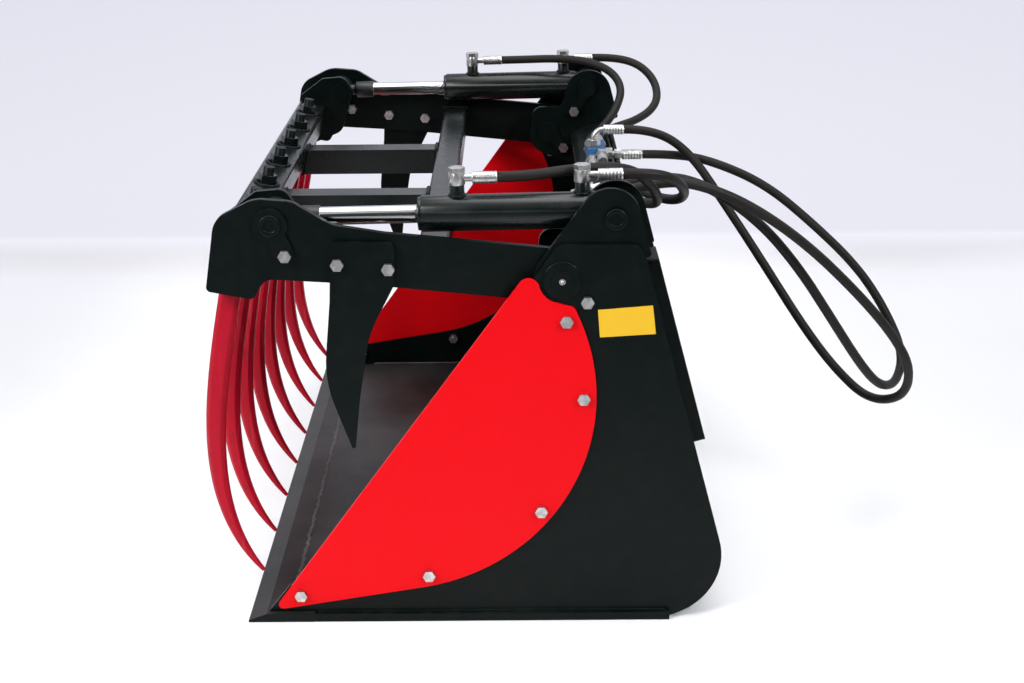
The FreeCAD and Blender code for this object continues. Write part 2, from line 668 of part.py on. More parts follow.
def build_bucket():
    """Cutting edge, sheet, side plates, guards, bars and skids."""
    lip = size("lip_x")
    blade_end = lip + size("blade_depth")
    blade_top = size("blade_thickness")
    sheet = size("sheet_thickness")
    extrusion(
        "cutting_edge",
        [[
            (lip, 0, 0),
            (blade_end, 0, 0),
            (blade_end, blade_top, 0),
            (lip + size("blade_bevel"), blade_top, 0),
            (lip, 4, 0),
        ]],
        "Sizes.bucket_width + 2 * Sizes.blade_overhang",
    )
    lap_start = blade_end - size("sheet_lap")
    rear = 90 + size("back_lean")
    radius = size("bend_radius")
    height = size("back_height")
    extrusion(
        "shell_sheet",
        [[
            (lap_start, blade_top, 0),
            arc_corner(BEND, radius, 0, rear),
            corner(on_back(0, height)),
            corner(on_back(-sheet, height)),
            arc_corner(BEND, radius - sheet, 0, rear),
            (lap_start, blade_top + sheet, 0),
        ]],
        "2 * Sizes.side_inner",
    )
    depth = size("member_depth")
    foot = height - size("member_height")
    front = -sheet - depth
    extrusion(
        "rear_cross_member",
        [
            [
                corner(on_back(front, foot), 10),
                corner(on_back(-sheet, foot), 10),
                corner(on_back(-sheet, height), 10),
                corner(on_back(front, height), 14),
            ],
            [
                corner(on_back(front + sheet, foot + sheet), 4),
                corner(on_back(-2 * sheet, foot + sheet), 4),
                corner(on_back(-2 * sheet, height - sheet), 4),
                corner(on_back(front + sheet, height - sheet), 8),
            ],
        ],
        "2 * Sizes.ear_inner",
    )
    bolts = bolt_holes(guard_bolt_places())
    ear_bolt = [("ear_bolt", "Sizes.pivot_x + Sizes.ear_bolt_x",
                 "Sizes.pivot_z + Sizes.ear_bolt_z", "Sizes.bolt_hole")]
    for side in SIDES:
        side_plate = plate(
            f"side_plate_{side}", side_corners(), side, "Sizes.half_width", "side_thickness",
            [pin_hole("pivot", "pivot_hole")] + bolts + ear_bolt,
        )
        add_ring(side_plate, f"pivot_boss_{side}", side, False, "side_thickness",
                 "Sizes.boss_height", "pivot", "pivot_hole", "boss_radius")
        plate(
            f"side_guard_{side}", guard_corners(), side,
            "Sizes.half_width + Sizes.guard_thickness", "guard_thickness", bolts,
        )
        ear = plate(
            f"cylinder_ear_outer_{side}", outer_ear_corners(), side, "Sizes.side_inner",
            "outer_ear_thickness",
            [pin_hole("pivot", "pivot_hole"), pin_hole("base_pin", "cylinder_pin_hole")] + ear_bolt,
        )
        add_ring(ear, f"ear_spacer_{side}", side, True, "outer_ear_thickness",
                 "Sizes.running_gap + Sizes.arm_thickness", "base_pin", "cylinder_pin_hole",
                 "eye_radius")
        plate(
            f"cylinder_ear_inner_{side}", inner_ear_corners(), side, "Sizes.ear_outer",
            "inner_ear_thickness",
            [pin_hole("pivot", "pivot_hole"), pin_hole("base_pin", "cylinder_pin_hole")]
            + bolt_holes([moved(pin, *offset) for pin, offset in LOCK_BOLTS]),
        )
    skids = [
        block(f"floor_skid_{n}",
              (blade_end, middle - size("skid_width") / 2, 0),
              (BEND[0] - 5, middle + size("skid_width") / 2, blade_top))
        for n, middle in enumerate((-size("skid_spacing"), 0, size("skid_spacing")), 1)
    ]
    group("floor_skids", skids)
    outer = size("half_width")
    bars = [
        block(f"wear_bar_{side}",
              (blade_end, min(sign * outer, sign * (outer + size("wear_bar_thickness"))), 0),
              (BEND[0] + 30, max(sign * outer, sign * (outer + size("wear_bar_thickness"))),
               size("wear_bar_height")))
        for side, sign in SIDES.items()
    ]
    group("wear_bars", bars)


def build_hitch():
    """Two strips on the back sheet with tapped holes, to which the loader's hooks are bolted."""
    half = size("hitch_width") / 2
    length = size("hitch_length")
    lean = Rotation(Vector(0, 1, 0), -size("back_lean"))
    x, z = on_back(0, size("hitch_foot"))
    for side, sign in SIDES.items():
        strip = doc.addObject("PartDesign::Body", f"hitch_strip_{side}")
        sketch = add_sketch(strip, f"hitch_outline_{side}", "YZ_Plane")
        draw_outline(sketch, [(-half, 0, 8), (half, 0, 8), (half, length, 8), (-half, length, 8)])
        for n in (-1, 0, 1):
            draw_hole(sketch, f"thread_{n + 2}", "0",
                      f"Sizes.hitch_length / 2 + {n} * Sizes.hitch_pitch",
                      "Sizes.hitch_thread_radius")
        pad = strip.newObject("PartDesign::Pad", f"hitch_pad_{side}")
        pad.Profile = sketch
        pad.setExpression("Length", "Sizes.hitch_thickness")
        strip.Placement = Placement(Vector(x, sign * size("hitch_spacing") / 2, z), lean)
        keep(strip, f"hitch_strip_{side}")


def flagged_pin(name, pin, radius, outer_end, side, offset):
    """Pin with a flag plate on the inner ear, which its lock bolt keeps from turning."""
    sign = SIDES[side]
    inner = size("ear_inner")
    flag_thickness = size("pin_end")
    inward = Vector(0, -sign, 0)
    start = Vector(pin[0], sign * outer_end, pin[1])
    length = f"{outer_end - inner} + Sizes.pin_end"
    shaft = cylinder(f"{name}_shaft", radius, length, start, inward)
    reach = math.hypot(*offset)
    flag_base = Vector(pin[0], sign * inner, pin[1])
    head = cylinder(f"{name}_head", f"{radius} + 6", "Sizes.pin_end", flag_base, inward)
    flag = doc.addObject("Part::Box", f"{name}_flag")
    flag.Length = reach + size("bolt_across") / 2 + 4
    flag.Width = size("bolt_across") + 4
    flag.Height = flag_thickness
    turn = Rotation(Vector(*(offset[0], 0, offset[1])), Vector(), inward, "XZY")
    flag.Placement = Placement(flag_base, turn)
    flag.Placement.Base = flag_base - turn.multVec(Vector(0, flag.Width.Value / 2, 0))
    bolt_base = Vector(pin[0] + offset[0], sign * (inner + 20), pin[1] + offset[1])
    bore = cylinder(f"{name}_flag_bore", "Sizes.bolt_hole", "40", bolt_base, inward)
    return bored(f"{name}_pin", fused(f"{name}_blank", [shaft, head, flag]), bore)


def build_pins():
    """Arm pivot pins and cylinder base pins, each with a flag and a lock bolt."""
    pivot_pins = []
    base_pins = []
    lock_bolts = []
    for side, sign in SIDES.items():
        pivot_pins.append(flagged_pin(f"pivot_{side}", PIVOT, "Sizes.pivot_pin_radius",
                                      size("half_width") + size("boss_height") + 2, side,
                                      LOCK_BOLTS[1][1]))
        base_pins.append(flagged_pin(f"base_{side}", BASE_PIN, "Sizes.cylinder_pin_radius",
                                     size("side_inner") + size("pin_end"), side,
                                     LOCK_BOLTS[0][1]))
        for pin, offset in LOCK_BOLTS:
            lock_bolts += bolt_with_nut(
                f"lock_bolt_{side}_{len(lock_bolts)}", moved(pin, *offset),
                sign * (size("ear_inner") - size("pin_end")), -sign,
                size("pin_end") + size("inner_ear_thickness"),
            )
    group("pivot_pins", pivot_pins)
    group("base_pins", base_pins)
    group("pin_lock_bolts", lock_bolts)


def build_bolts():
    """Bolts of the guards and the ears, with their nuts inside the bucket."""
    guard_bolts = []
    ear_bolts = []
    for side, sign in SIDES.items():
        face = sign * (size("half_width") + size("guard_thickness"))
        grip = size("guard_thickness") + size("side_thickness")
        for n, place in enumerate(guard_bolt_places(), 1):
            guard_bolts += bolt_with_nut(f"guard_bolt_{side}_{n}", place, face, sign, grip)
        face = sign * size("half_width")
        out = Vector(0, sign, 0)
        place = moved(PIVOT, size("ear_bolt_x"), size("ear_bolt_z"))
        head_base = Vector(place[0], face, place[1])
        grip = size("side_thickness") + size("outer_ear_thickness")
        head = hexagon(f"ear_bolt_{side}_head", "Sizes.bolt_across", "Sizes.bolt_head",
                       head_base, out)
        shank = cylinder(f"ear_bolt_{side}_shank", "Sizes.bolt_radius", str(grip + 2),
                         head_base - out * grip, out)
        ear_bolts.append(fused(f"ear_bolt_{side}", [head, shank]))
    group("side_plate_bolts", guard_bolts + ear_bolts)


def tine_section(fraction):
    """Place (back, up), heading and width of the tine's section, from root to tip."""
    steps = 60
    length = size("tine_length")
    back = 0.0
    up = -size("beam_size") / 2
    for step in range(round(steps * fraction)):
        curl = math.radians(size("tine_curl") * ((step + 0.5) / steps) ** size("tine_curl_power"))
        back += length / steps * math.sin(curl)
        up -= length / steps * math.cos(curl)
    curl = size("tine_curl") * fraction ** size("tine_curl_power")
    tip = size("tine_tip_size")
    width = tip + (size("tine_size") - tip) * (1 - fraction ** size("tine_taper_power"))
    return back, up, curl, width


def build_tine(name, number):
    """Forged tine: a curling, tapering loft with a shank through the beam."""
    body = doc.addObject("PartDesign::Body", name)
    sections = []
    for index, fraction in enumerate((0, 0.15, 0.35, 0.55, 0.7, 0.82, 0.92, 1.0)):
        back, up, curl, width = tine_section(fraction)
        offset = Placement(Vector(back, 0, up), Rotation(Vector(0, 1, 0), -curl))
        section = add_sketch(body, f"{name}_section_{index}", "XY_Plane", offset)
        half = width / 2
        chamfer = 0.22 * width
        corners = []
        for x, y in ((-1, -1), (1, -1), (1, 1), (-1, 1)):
            cut = ((x * (half - chamfer), y * half, 0), (x * half, y * (half - chamfer), 0))
            corners += cut[::-1] if x == y else cut
        draw_outline(section, corners)
        sections.append(section)
    loft = body.newObject("PartDesign::AdditiveLoft", f"{name}_forging")
    loft.Profile = sections[0]
    loft.Sections = sections[1:]
    shank_length = size("beam_size") + size("nut_height") + 14
    circle = add_sketch(body, f"{name}_shank_circle", "XY_Plane",
                        Placement(Vector(0, 0, -size("beam_size") / 2), Rotation()))
    draw_hole(circle, "shank", "0", "0", "Sizes.shank_radius")
    shank = body.newObject("PartDesign::Pad", f"{name}_shank")
    shank.Profile = circle
    shank.Length = shank_length
    lean = Rotation(Vector(0, 1, 0), size("beam_lean"))
    body.Placement = Placement(Vector(size("beam_x"), 0, size("beam_z")), lean)
    body.setExpression("Placement.Base.y", f"({number} - 1) * Sizes.tine_pitch - Sizes.cylinder_y")
    return keep(body, name)


def build_grab():
    """Arms, nose ears, tine beam, tines, frame tubes and side knives."""
    knife_bolts = bolt_holes(knife_bolt_places())
    flag_bolt = [("flag_bolt", "Sizes.rod_pin_x + 22", "Sizes.rod_pin_z - 50", "Sizes.bolt_hole")]
    nose_ears = []
    for side in SIDES:
        arm = plate(
            f"grab_arm_{side}", arm_corners(), side, "Sizes.arm_outer", "arm_thickness",
            [pin_hole("pivot", "pivot_hole"), pin_hole("rod_pin", "cylinder_pin_hole")]
            + knife_bolts + flag_bolt,
        )
        add_ring(arm, f"hub_tube_{side}", side, True, "arm_thickness",
                 "Sizes.cylinder_bay - Sizes.running_gap", "pivot", "pivot_hole",
                 "hub_tube_radius")
        plate(f"side_knife_{side}", knife_corners(), side,
              "Sizes.arm_outer + Sizes.knife_thickness", "knife_thickness", knife_bolts)
        ear = plate(f"nose_ear_{side}", nose_ear_corners(), side, "Sizes.ear_outer",
                    "nose_ear_thickness", [pin_hole("rod_pin", "cylinder_pin_hole")])
        parts.remove(ear)
        nose_ears.append(ear)
    group("nose_ears", nose_ears)
    lean = Rotation(Vector(0, 1, 0), size("beam_lean"))
    beam = extrusion("front_beam", square_section(size("beam_size"), size("beam_wall"), 6),
                     "2 * Sizes.arm_inner")
    beam.Placement = Placement(Vector(size("beam_x"), 0, size("beam_z")), lean)
    shank_holes = add_sketch(beam, "shank_holes", "XY_Plane")
    count = round(size("tine_count"))
    for number in range(1, count + 1):
        draw_hole(shank_holes, f"shank_{number}", "0",
                  f"({number} - 1) * Sizes.tine_pitch - Sizes.cylinder_y",
                  "Sizes.shank_radius + Sizes.shank_clearance")
    drilling = beam.newObject("PartDesign::Pocket", "shank_drilling")
    drilling.Profile = shank_holes
    drilling.Type = "ThroughAll"
    drilling.SideType = "Symmetric"
    nuts = []
    for number in range(1, count + 1):
        tine = build_tine(f"tine_{number}", number)
        y_place = (number - 1) * size("tine_pitch") - size("cylinder_y")
        x, z = on_beam(0, size("beam_size") / 2)
        base = Vector(x, y_place, z)
        along = lean.multVec(Vector(0, 0, 1))
        bar = hexagon(f"tine_nut_{number}_bar", "Sizes.nut_across", "Sizes.nut_height", base, along)
        hole = cylinder(f"tine_nut_{number}_hole", "Sizes.shank_radius + Sizes.pin_clearance",
                        "Sizes.nut_height + 4", base - along * 2, along)
        nuts.append(bored(f"tine_nut_{number}", bar, hole))
    group("tine_nuts", nuts)
    middle_z = size("frame_top") - size("frame_size") / 2
    cross = extrusion("cross_tube", square_section(size("frame_size"), size("frame_wall"), 5),
                      "2 * Sizes.arm_inner")
    cross.Placement = Placement(Vector(size("cross_tube_x"), 0, middle_z), Rotation())
    tubes = [frame_tube(side) for side in SIDES]
    group("frame_tubes", tubes)
    bolts = []
    for side, sign in SIDES.items():
        face = sign * (size("arm_outer") + size("knife_thickness"))
        grip = size("knife_thickness") + size("arm_thickness")
        for n, place in enumerate(knife_bolt_places(), 1):
            bolts += bolt_with_nut(f"knife_bolt_{side}_{n}", place, face, sign, grip)
    return bolts


def frame_tube(side):
    """Lengthwise square tube from the beam to the cross tube, mitred to the leaning beam."""
    half = size("beam_size") / 2
    top = size("frame_top")
    foot = top - size("frame_size")
    lean = 90 - size("beam_lean")
    rear = size("cross_tube_x") - size("frame_size") / 2
    beam_corner = on_beam(half, -half)
    top_front = meet(beam_corner, lean, (0, top), 0)
    body = doc.addObject("PartDesign::Body", f"frame_tube_{side}")
    sketch = add_sketch(body, f"frame_tube_{side}_outline")
    draw_outline(sketch, [
        (beam_corner[0], foot, 0), (rear, foot, 0), (rear, top, 0), corner(top_front),
        corner(beam_corner),
    ])
    add_pad(body, f"frame_tube_{side}_pad", sketch, "Sizes.frame_size", both_ways=True)
    hollow = add_sketch(body, f"frame_tube_{side}_hollow", "YZ_Plane")
    inner = size("frame_size") / 2 - size("frame_wall")
    middle = top - size("frame_size") / 2
    draw_outline(hollow, [(y * inner, middle + z * inner, 0)
                          for y, z in ((-1, -1), (1, -1), (1, 1), (-1, 1))])
    pocket = body.newObject("PartDesign::Pocket", f"frame_tube_{side}_pocket")
    pocket.Profile = hollow
    pocket.Type = "ThroughAll"
    pocket.SideType = "Symmetric"
    body.setExpression("Placement.Base.y", f"{SIDES[side]} * Sizes.frame_tube_y")
    return body


def cylinder_frame(side, at_rod=False):
    """Frame of a cylinder: X runs from the rod pin to the base pin, Z points up."""
    pin = ROD_PIN if at_rod else BASE_PIN
    place = Vector(pin[0], SIDES[side] * size("cylinder_y"), pin[1])
    return Placement(place, Rotation(Vector(0, 1, 0), -CYLINDER_ANGLE))


def add_eye(body, name):
    """Eye around a pin at the origin of the body."""
    sketch = add_sketch(body, f"{name}_sketch")
    draw_hole(sketch, "rim", "0", "0", "Sizes.eye_radius")
    draw_hole(sketch, "hole", "0", "0", "Sizes.cylinder_pin_hole")
    return add_pad(body, name, sketch, "Sizes.eye_width", both_ways=True)


def build_cylinder(side):
    """Hydraulic cylinder: barrel, gland, rod and piston, with its pin and fittings."""
    frame = cylinder_frame(side)
    rod_frame = cylinder_frame(side, at_rod=True)
    outer = size("barrel_radius")
    bore = size("bore_radius")
    mouth = -size("barrel_length")
    cap = -size("eye_radius") + 5
    barrel = turned(f"barrel_{side}", (
        (mouth + 2, outer), (mouth + 2, bore), (cap - 40, bore), (cap - 40, 0), (cap, 0),
        (cap, outer - 4), (cap - 4, outer),
    ), frame)
    add_eye(barrel, f"barrel_eye_{side}")
    ports = add_sketch(barrel, f"ports_{side}", "XY_Plane",
                       Placement(Vector(0, 0, (outer + bore) / 2), Rotation()))
    for port in ("base_port", "rod_port"):
        draw_hole(ports, port, f"-Sizes.{port}", "0", "Sizes.port_radius")
    bosses = barrel.newObject("PartDesign::Pad", f"port_bosses_{side}")
    bosses.Profile = ports
    bosses.setExpression(
        "Length", "Sizes.port_height + (Sizes.barrel_radius - Sizes.bore_radius) / 2")
    keep(barrel, f"barrel_{side}")
    hole = size("gland_hole")
    seat = mouth + size("gland_length")
    keep(turned(f"gland_{side}", (
        (mouth - 4, hole), (seat, hole), (seat, bore), (mouth + 2, bore), (mouth + 2, outer - 2),
        (mouth - 4, outer - 3),
    ), frame), f"gland_{side}")
    collar = size("rod_collar_start")
    neck = size("eye_radius") - 8
    rod = size("gland_bore")
    piston = size("piston_from_pin")
    rod_body = turned(f"rod_{side}", (
        (neck, 0), (neck, 12), (collar - 4, 12), (collar, rod + 3), (size("rod_collar_end"), rod + 3),
        (size("rod_collar_end"), rod), (piston, rod), (piston, 12),
        (piston + size("piston_length"), 12), (piston + size("piston_length"), 0),
    ), rod_frame)
    add_eye(rod_body, f"rod_eye_{side}")
    keep(rod_body, f"rod_{side}")
    piston_end = piston + size("piston_length")
    piston_hole = 12 + size("pin_clearance")
    keep(turned(f"piston_{side}", (
        (piston, piston_hole), (piston_end, piston_hole), (piston_end, size("piston_radius")),
        (piston, size("piston_radius")),
    ), rod_frame), f"piston_{side}")
    half_pin = size("cylinder_bay") / 2 - 0.6
    pin = turned(f"rod_pin_{side}", (
        (-half_pin, 0), (half_pin, 0), (half_pin, size("cylinder_pin_radius")),
        (-half_pin, size("cylinder_pin_radius")),
    ), Placement(rod_frame.Base, Rotation(Vector(0, 0, 1), 90)))
    keep(pin, f"rod_pin_{side}")
    group(f"banjo_fittings_{side}", [
        banjo(f"{port}_hose_{side}", frame, -size(f"{port}_port")) for port in ("base", "rod")
    ])


def banjo(hose_name, frame, along):
    """Banjo fitting on a port, with its bolt head, neck and ferrule towards the rear."""
    name = f"{hose_name}_banjo"
    up = frame.Rotation.multVec(Vector(0, 0, 1))
    rear = frame.Rotation.multVec(Vector(1, 0, 0))
    seat = frame.multVec(Vector(along, 0, size("barrel_radius") + size("port_height")))
    middle = seat + up * (size("banjo_height") / 2)
    ring = cylinder(f"{name}_ring", "Sizes.banjo_radius", "Sizes.banjo_height", seat, up)
    head = hexagon(f"{name}_head", "Sizes.fitting_across", "8",
                   seat + up * size("banjo_height"), up)
    neck_length = size("banjo_radius") + size("ferrule_neck")
    neck = cylinder(f"{name}_neck", "6", str(neck_length + 2), middle, rear)
    ferrule = cylinder(f"{name}_ferrule", "Sizes.ferrule_radius", "Sizes.ferrule_length",
                       middle + rear * neck_length, rear)
    end = middle + rear * (neck_length + size("ferrule_length"))
    hose_ends[hose_name] = [(end, rear)]
    return fused(name, [ring, head, neck, ferrule])


def build_rod_pin_flags(knife_bolts):
    """Ends of the rod pins in the arm and nose plates, with the flag outside the arm."""
    flags = []
    bolts = []
    x, z = ROD_PIN
    for side, sign in SIDES.items():
        out = Vector(0, sign, 0)
        outer_face = Vector(x, sign * size("arm_outer"), z)
        inner_face = Vector(x, sign * size("ear_inner"), z)
        stub = cylinder(f"rod_flag_{side}_stub", "Sizes.cylinder_pin_radius",
                        "Sizes.arm_thickness + Sizes.pin_end / 2",
                        outer_face - out * size("arm_thickness"), out)
        disc = cylinder(f"rod_flag_{side}_disc", "Sizes.flag_radius", "Sizes.pin_end",
                        outer_face, out)
        tail = Vector(22, 0, -50)
        toe = cylinder(f"rod_flag_{side}_toe", "Sizes.flag_toe", "Sizes.pin_end",
                       outer_face + tail, out)
        link = doc.addObject("Part::Box", f"rod_flag_{side}_link")
        link.Length = tail.Length
        link.Width = 2 * size("flag_toe") + 4
        link.Height = size("pin_end")
        turn = Rotation(tail, Vector(), out, "XZY")
        link.Placement = Placement(outer_face - turn.multVec(Vector(0, link.Width.Value / 2, 0)), turn)
        bore = cylinder(f"rod_flag_{side}_bore", "Sizes.bolt_hole", "40",
                        outer_face + tail - out * 20, out)
        blank = fused(f"rod_flag_{side}_blank", [stub, disc, toe, link])
        flags.append(bored(f"rod_flag_{side}", blank, bore))
        cap = cylinder(f"rod_cap_{side}_head", "Sizes.cylinder_pin_radius + 4", "4",
                       inner_face, -out)
        plug = cylinder(f"rod_cap_{side}_plug", "Sizes.cylinder_pin_radius",
                        "Sizes.nose_ear_thickness + 2", inner_face - out * 2, out)
        flags.append(fused(f"rod_cap_{side}", [cap, plug]))
        bolts += bolt_with_nut(f"flag_bolt_{side}", moved(ROD_PIN, 22, -50),
                               sign * (size("arm_outer") + size("pin_end")), sign,
                               size("pin_end") + size("arm_thickness"))
    group("rod_pin_flags", flags)
    group("arm_bolts", knife_bolts + bolts)


def member_frame(y):
    """Frame in the middle of the rear cross member's top: X points back, Z along the back."""
    x, z = on_back(-size("sheet_thickness") - size("member_depth") / 2, size("back_height"))
    return Placement(Vector(x, y, z), Rotation(Vector(0, 1, 0), -size("back_lean")))


def manifold_frame():
    """Level frame of the manifold, in the middle of the block above its sloping foot."""
    frame = member_frame(size("manifold_y"))
    rise = size("manifold_depth") / 2 * math.tan(LEAN) + size("manifold_rise")
    return Placement(frame.Base + Vector(0, 0, rise), Rotation())


def build_manifold():
    """Level manifold block with a sloping foot on the rear member, and the fittings of six hoses."""
    frame = manifold_frame()
    half = size("manifold_depth") / 2
    rear, front = frame.Base.x + half, frame.Base.x - half
    foot = frame.Base.z
    top = foot + size("manifold_height")
    extrusion("manifold_block", [[
        (front, foot - size("manifold_rise") - 2 * half * math.tan(LEAN), 0),
        (rear, foot - size("manifold_rise"), 0),
        (rear, top, 2),
        (front, top, 2),
    ]], "Sizes.manifold_width", "Sizes.manifold_y")
    fittings = []
    for hose_name, seat, along, setback in straight_ports():
        name = f"{hose_name}_port"
        base = frame.multVec(seat)
        reach = 20 + setback
        nut = hexagon(f"{name}_nut", "Sizes.fitting_across", "14", base, along)
        neck = cylinder(f"{name}_neck", "7", str(reach + 4), base, along)
        ferrule = cylinder(f"{name}_ferrule", "Sizes.ferrule_radius", "Sizes.ferrule_length",
                           base + along * reach, along)
        members = [nut, neck, ferrule]
        if setback:
            members.append(hexagon(f"{name}_swivel", "(Sizes.fitting_across - 5)", "12",
                                   base + along * (reach - 16), along))
        fittings.append(fused(name, members))
        end = base + along * (reach + size("ferrule_length"))
        hose_ends.setdefault(hose_name, []).append((end, along))
    fittings.append(elbow_fitting(frame))
    group("manifold_fittings", fittings)


def straight_ports():
    """Hose, seat, direction and extra length of the straight fittings."""
    half = size("manifold_width") / 2
    middle = size("manifold_height") / 2
    ports = [("feed_hose_2", Vector(size("manifold_depth") / 2, -14, middle), Vector(1, 0, 0),
              size("feed_setback"))]
    for side, sign in SIDES.items():
        for hose_name, back, up in (("rod_hose", -9, middle - 4), ("base_hose", 9, middle + 6)):
            ports.append((f"{hose_name}_{side}", Vector(back, sign * half, up),
                          Vector(0, sign, 0), 0))
    return ports


def elbow_fitting(frame):
    """Feed fitting on top of the block, swept through a quarter bend towards the rear."""
    base = frame.multVec(Vector(-6, -14, size("manifold_height")))
    up = Vector(0, 0, 1)
    rear = Vector(1, 0, 0)
    radius = 20
    nut = hexagon("elbow_nut", "Sizes.fitting_across", "14", base, up)
    bend = doc.addObject("Part::Torus", "elbow_bend")
    bend.Radius1 = radius
    bend.Radius2 = 6
    bend.Angle3 = 90
    centre = base + up * 14 + rear * radius
    bend.Placement = Placement(centre, Rotation(-rear, up, Vector(), "XYZ"))
    end = centre + up * radius
    ferrule = cylinder("elbow_ferrule", "Sizes.ferrule_radius", "Sizes.ferrule_length",
                       end, rear)
    hose_ends["feed_hose_1"] = [(end + rear * size("ferrule_length"), rear)]
    return fused("elbow_fitting", [nut, bend, ferrule])


HOSE_ROUTES = {
    "rod_hose_right": (
        (57, 532.5, 769.6), (108, 532.5, 770.52), (174, 512, 776), (243, 494, 774), (298, 458, 758),
        (320, 410, 728), (304, 362, 692), (279, 319, 669), (255, 279, 656), (239.41, 240, 651.65),
        (239.41, 212, 651.65),
    ),
    "base_hose_right": (
        (259.9, 532.5, 773.3), (303, 532.5, 774.08), (358, 516, 764), (392, 472, 738),
        (399, 420, 708), (382, 376, 687), (347, 341, 673), (310, 309, 668), (275.5, 278, 664),
        (257.41, 240, 661.65), (257.41, 212, 661.65),
    ),
    "rod_hose_left": (
        (57, -532.5, 769.6), (108, -532.5, 770.52), (174, -512, 776), (243, -494, 776),
        (290, -470, 760), (320, -437, 722), (331, -394, 688), (318, -336, 669), (292, -264, 660),
        (266, -186, 655), (248, -112, 652.5), (239.41, -46, 651.65), (239.41, 8, 651.65),
    ),
    "base_hose_left": (
        (259.9, -532.5, 773.3), (302, -532.5, 774.06), (344, -512, 760), (366, -472, 732),
        (370, -422, 704), (358, -366, 684), (336, -300, 672), (310, -230, 667), (284, -160, 664),
        (266, -96, 662.3), (257.41, -42, 661.65), (257.41, 8, 661.65),
    ),
    "feed_hose_1": (
        (302.41, 96, 706.65), (362, 96, 706.65), (432, 76, 666), (499, 42, 572), (573, 0, 464),
        (653, -60, 343), (714, -102, 267), (773, -155, 221), (823, -220, 253), (819, -272, 333),
        (772, -300, 412), (693, -330, 504), (591, -362, 605), (486, -392, 683), (394, -402, 723),
        (330, -400, 725.72), (273.2, -400, 710.5),
    ),
    "feed_hose_2": (
        (340.41, 96, 655.65), (405, 96, 655.65), (480, 98, 641), (586, 66, 600), (682, 25, 525),
        (767, 0, 445), (819, -30, 369), (851, -82, 294), (825, -150, 255), (778, -212, 273),
        (727, -260, 336), (658, -298, 443), (592, -320, 544), (513, -345, 639), (413, -362, 712),
        (335, -356, 727.02), (273.2, -356, 710.5),
    ),
}


def between_ends(name, route):
    """Points of a route, moved so that it begins and ends at its two ferrules."""
    points = [Vector(*point) for point in route]
    (start, leave), (end, arrive) = hose_ends[name]
    first_run = (points[1] - points[0]).Length
    last_run = (points[-1] - points[-2]).Length
    first = start - points[0]
    last = end - points[-1]
    steps = len(points) - 3
    between = [
        point + first * (1 - index / steps) + last * (index / steps)
        for index, point in enumerate(points[2:-2], 1)
    ]
    return [start, start + leave * first_run, *between, end + arrive * last_run, end]


def hose(name, route):
    """Tube along straight runs that are joined by arcs tangent to both."""
    points = between_ends(name, route)
    edges = []
    radii = []
    last = points[0]
    for before, here, after in zip(points, points[1:], points[2:]):
        back = before - here
        ahead = after - here
        trim = 0.45 * min(back.Length, ahead.Length)
        half = back.getAngle(ahead) / 2
        radii.append(trim * math.tan(half))
        back.normalize()
        ahead.normalize()
        middle = (back + ahead).normalize()
        centre = here + middle * (trim / math.cos(half))
        enter = here + back * trim
        leave = here + ahead * trim
        edges.append(Part.LineSegment(last, enter).toShape())
        edges.append(Part.Arc(enter, centre - middle * radii[-1], leave).toShape())
        last = leave
    edges.append(Part.LineSegment(last, points[-1]).toShape())
    spine = Part.Wire(edges)
    radius = size("hose_radius")
    ring = Part.Wire([Part.Circle(points[0], points[1] - points[0], radius).toShape()])
    tube = doc.addObject("Part::Feature", name)
    tube.Shape = spine.makePipeShell([ring], True, True)
    expected = math.pi * radius ** 2 * spine.Length
    if abs(tube.Shape.Volume / expected - 1) > 0.01:
        raise RuntimeError(f"{name}: the tube's volume is off")
    print(f"{name}: {spine.Length:.0f} mm, bends {min(radii):.0f} to {max(radii):.0f} mm")
    return keep(tube, name)


def coupler(hose_name, frame, across):
    """Quick coupler with its hose ferrule, along the X axis of the frame."""
    name = f"{hose_name}_coupler"
    rear = frame.Rotation.multVec(Vector(1, 0, 0))
    middle = frame.multVec(Vector(0, across, size("coupler_height")))
    body = cylinder(f"{name}_body", "Sizes.coupler_radius", "40", middle - rear * 46, rear)
    collar = cylinder(f"{name}_collar", "Sizes.coupler_radius + 4", "6", middle - rear * 12, rear)
    nut = hexagon(f"{name}_nut", "Sizes.fitting_across", "14", middle - rear * 8, rear)
    ferrule = cylinder(f"{name}_ferrule", "Sizes.ferrule_radius", "Sizes.ferrule_length",
                       middle + rear * (45 - size("ferrule_length")), rear)
    hose_ends[hose_name].append((middle + rear * 45, rear))
    return fused(name, [body, collar, nut, ferrule])


def build_couplers():
    """Quick couplers of the feed hoses, parked in a holder on the rear cross member."""
    frame = member_frame(size("holder_y"))
    places = (-size("coupler_spacing") / 2, size("coupler_spacing") / 2)
    holder = doc.addObject("PartDesign::Body", "coupler_holder")
    sketch = add_sketch(holder, "holder_outline", "YZ_Plane")
    half = size("coupler_spacing") / 2 + size("coupler_radius") + 10
    top = size("coupler_height") + size("coupler_radius") + 10
    draw_outline(sketch, [(-half, 0, 0), (half, 0, 0), (half, top, 14), (-half, top, 14)])
    for index, place in enumerate(places, 1):
        draw_hole(sketch, f"coupler_{index}", str(place), "Sizes.coupler_height",
                  "Sizes.coupler_radius + Sizes.pin_clearance")
    pad = holder.newObject("PartDesign::Pad", "holder_plate")
    pad.Profile = sketch
    pad.Length = 8
    holder.Placement = Placement(frame.multVec(Vector(-20, 0, 0)), frame.Rotation)
    keep(holder, "coupler_holder")
    couplers = [coupler(f"feed_hose_{n}", frame, place) for n, place in enumerate(places, 1)]
    group("quick_couplers", couplers)


def failed_objects():
    """Names of objects that did not compute."""
    return [item.Name for item in doc.Objects
            if "Invalid" in item.State or "Error" in item.State]


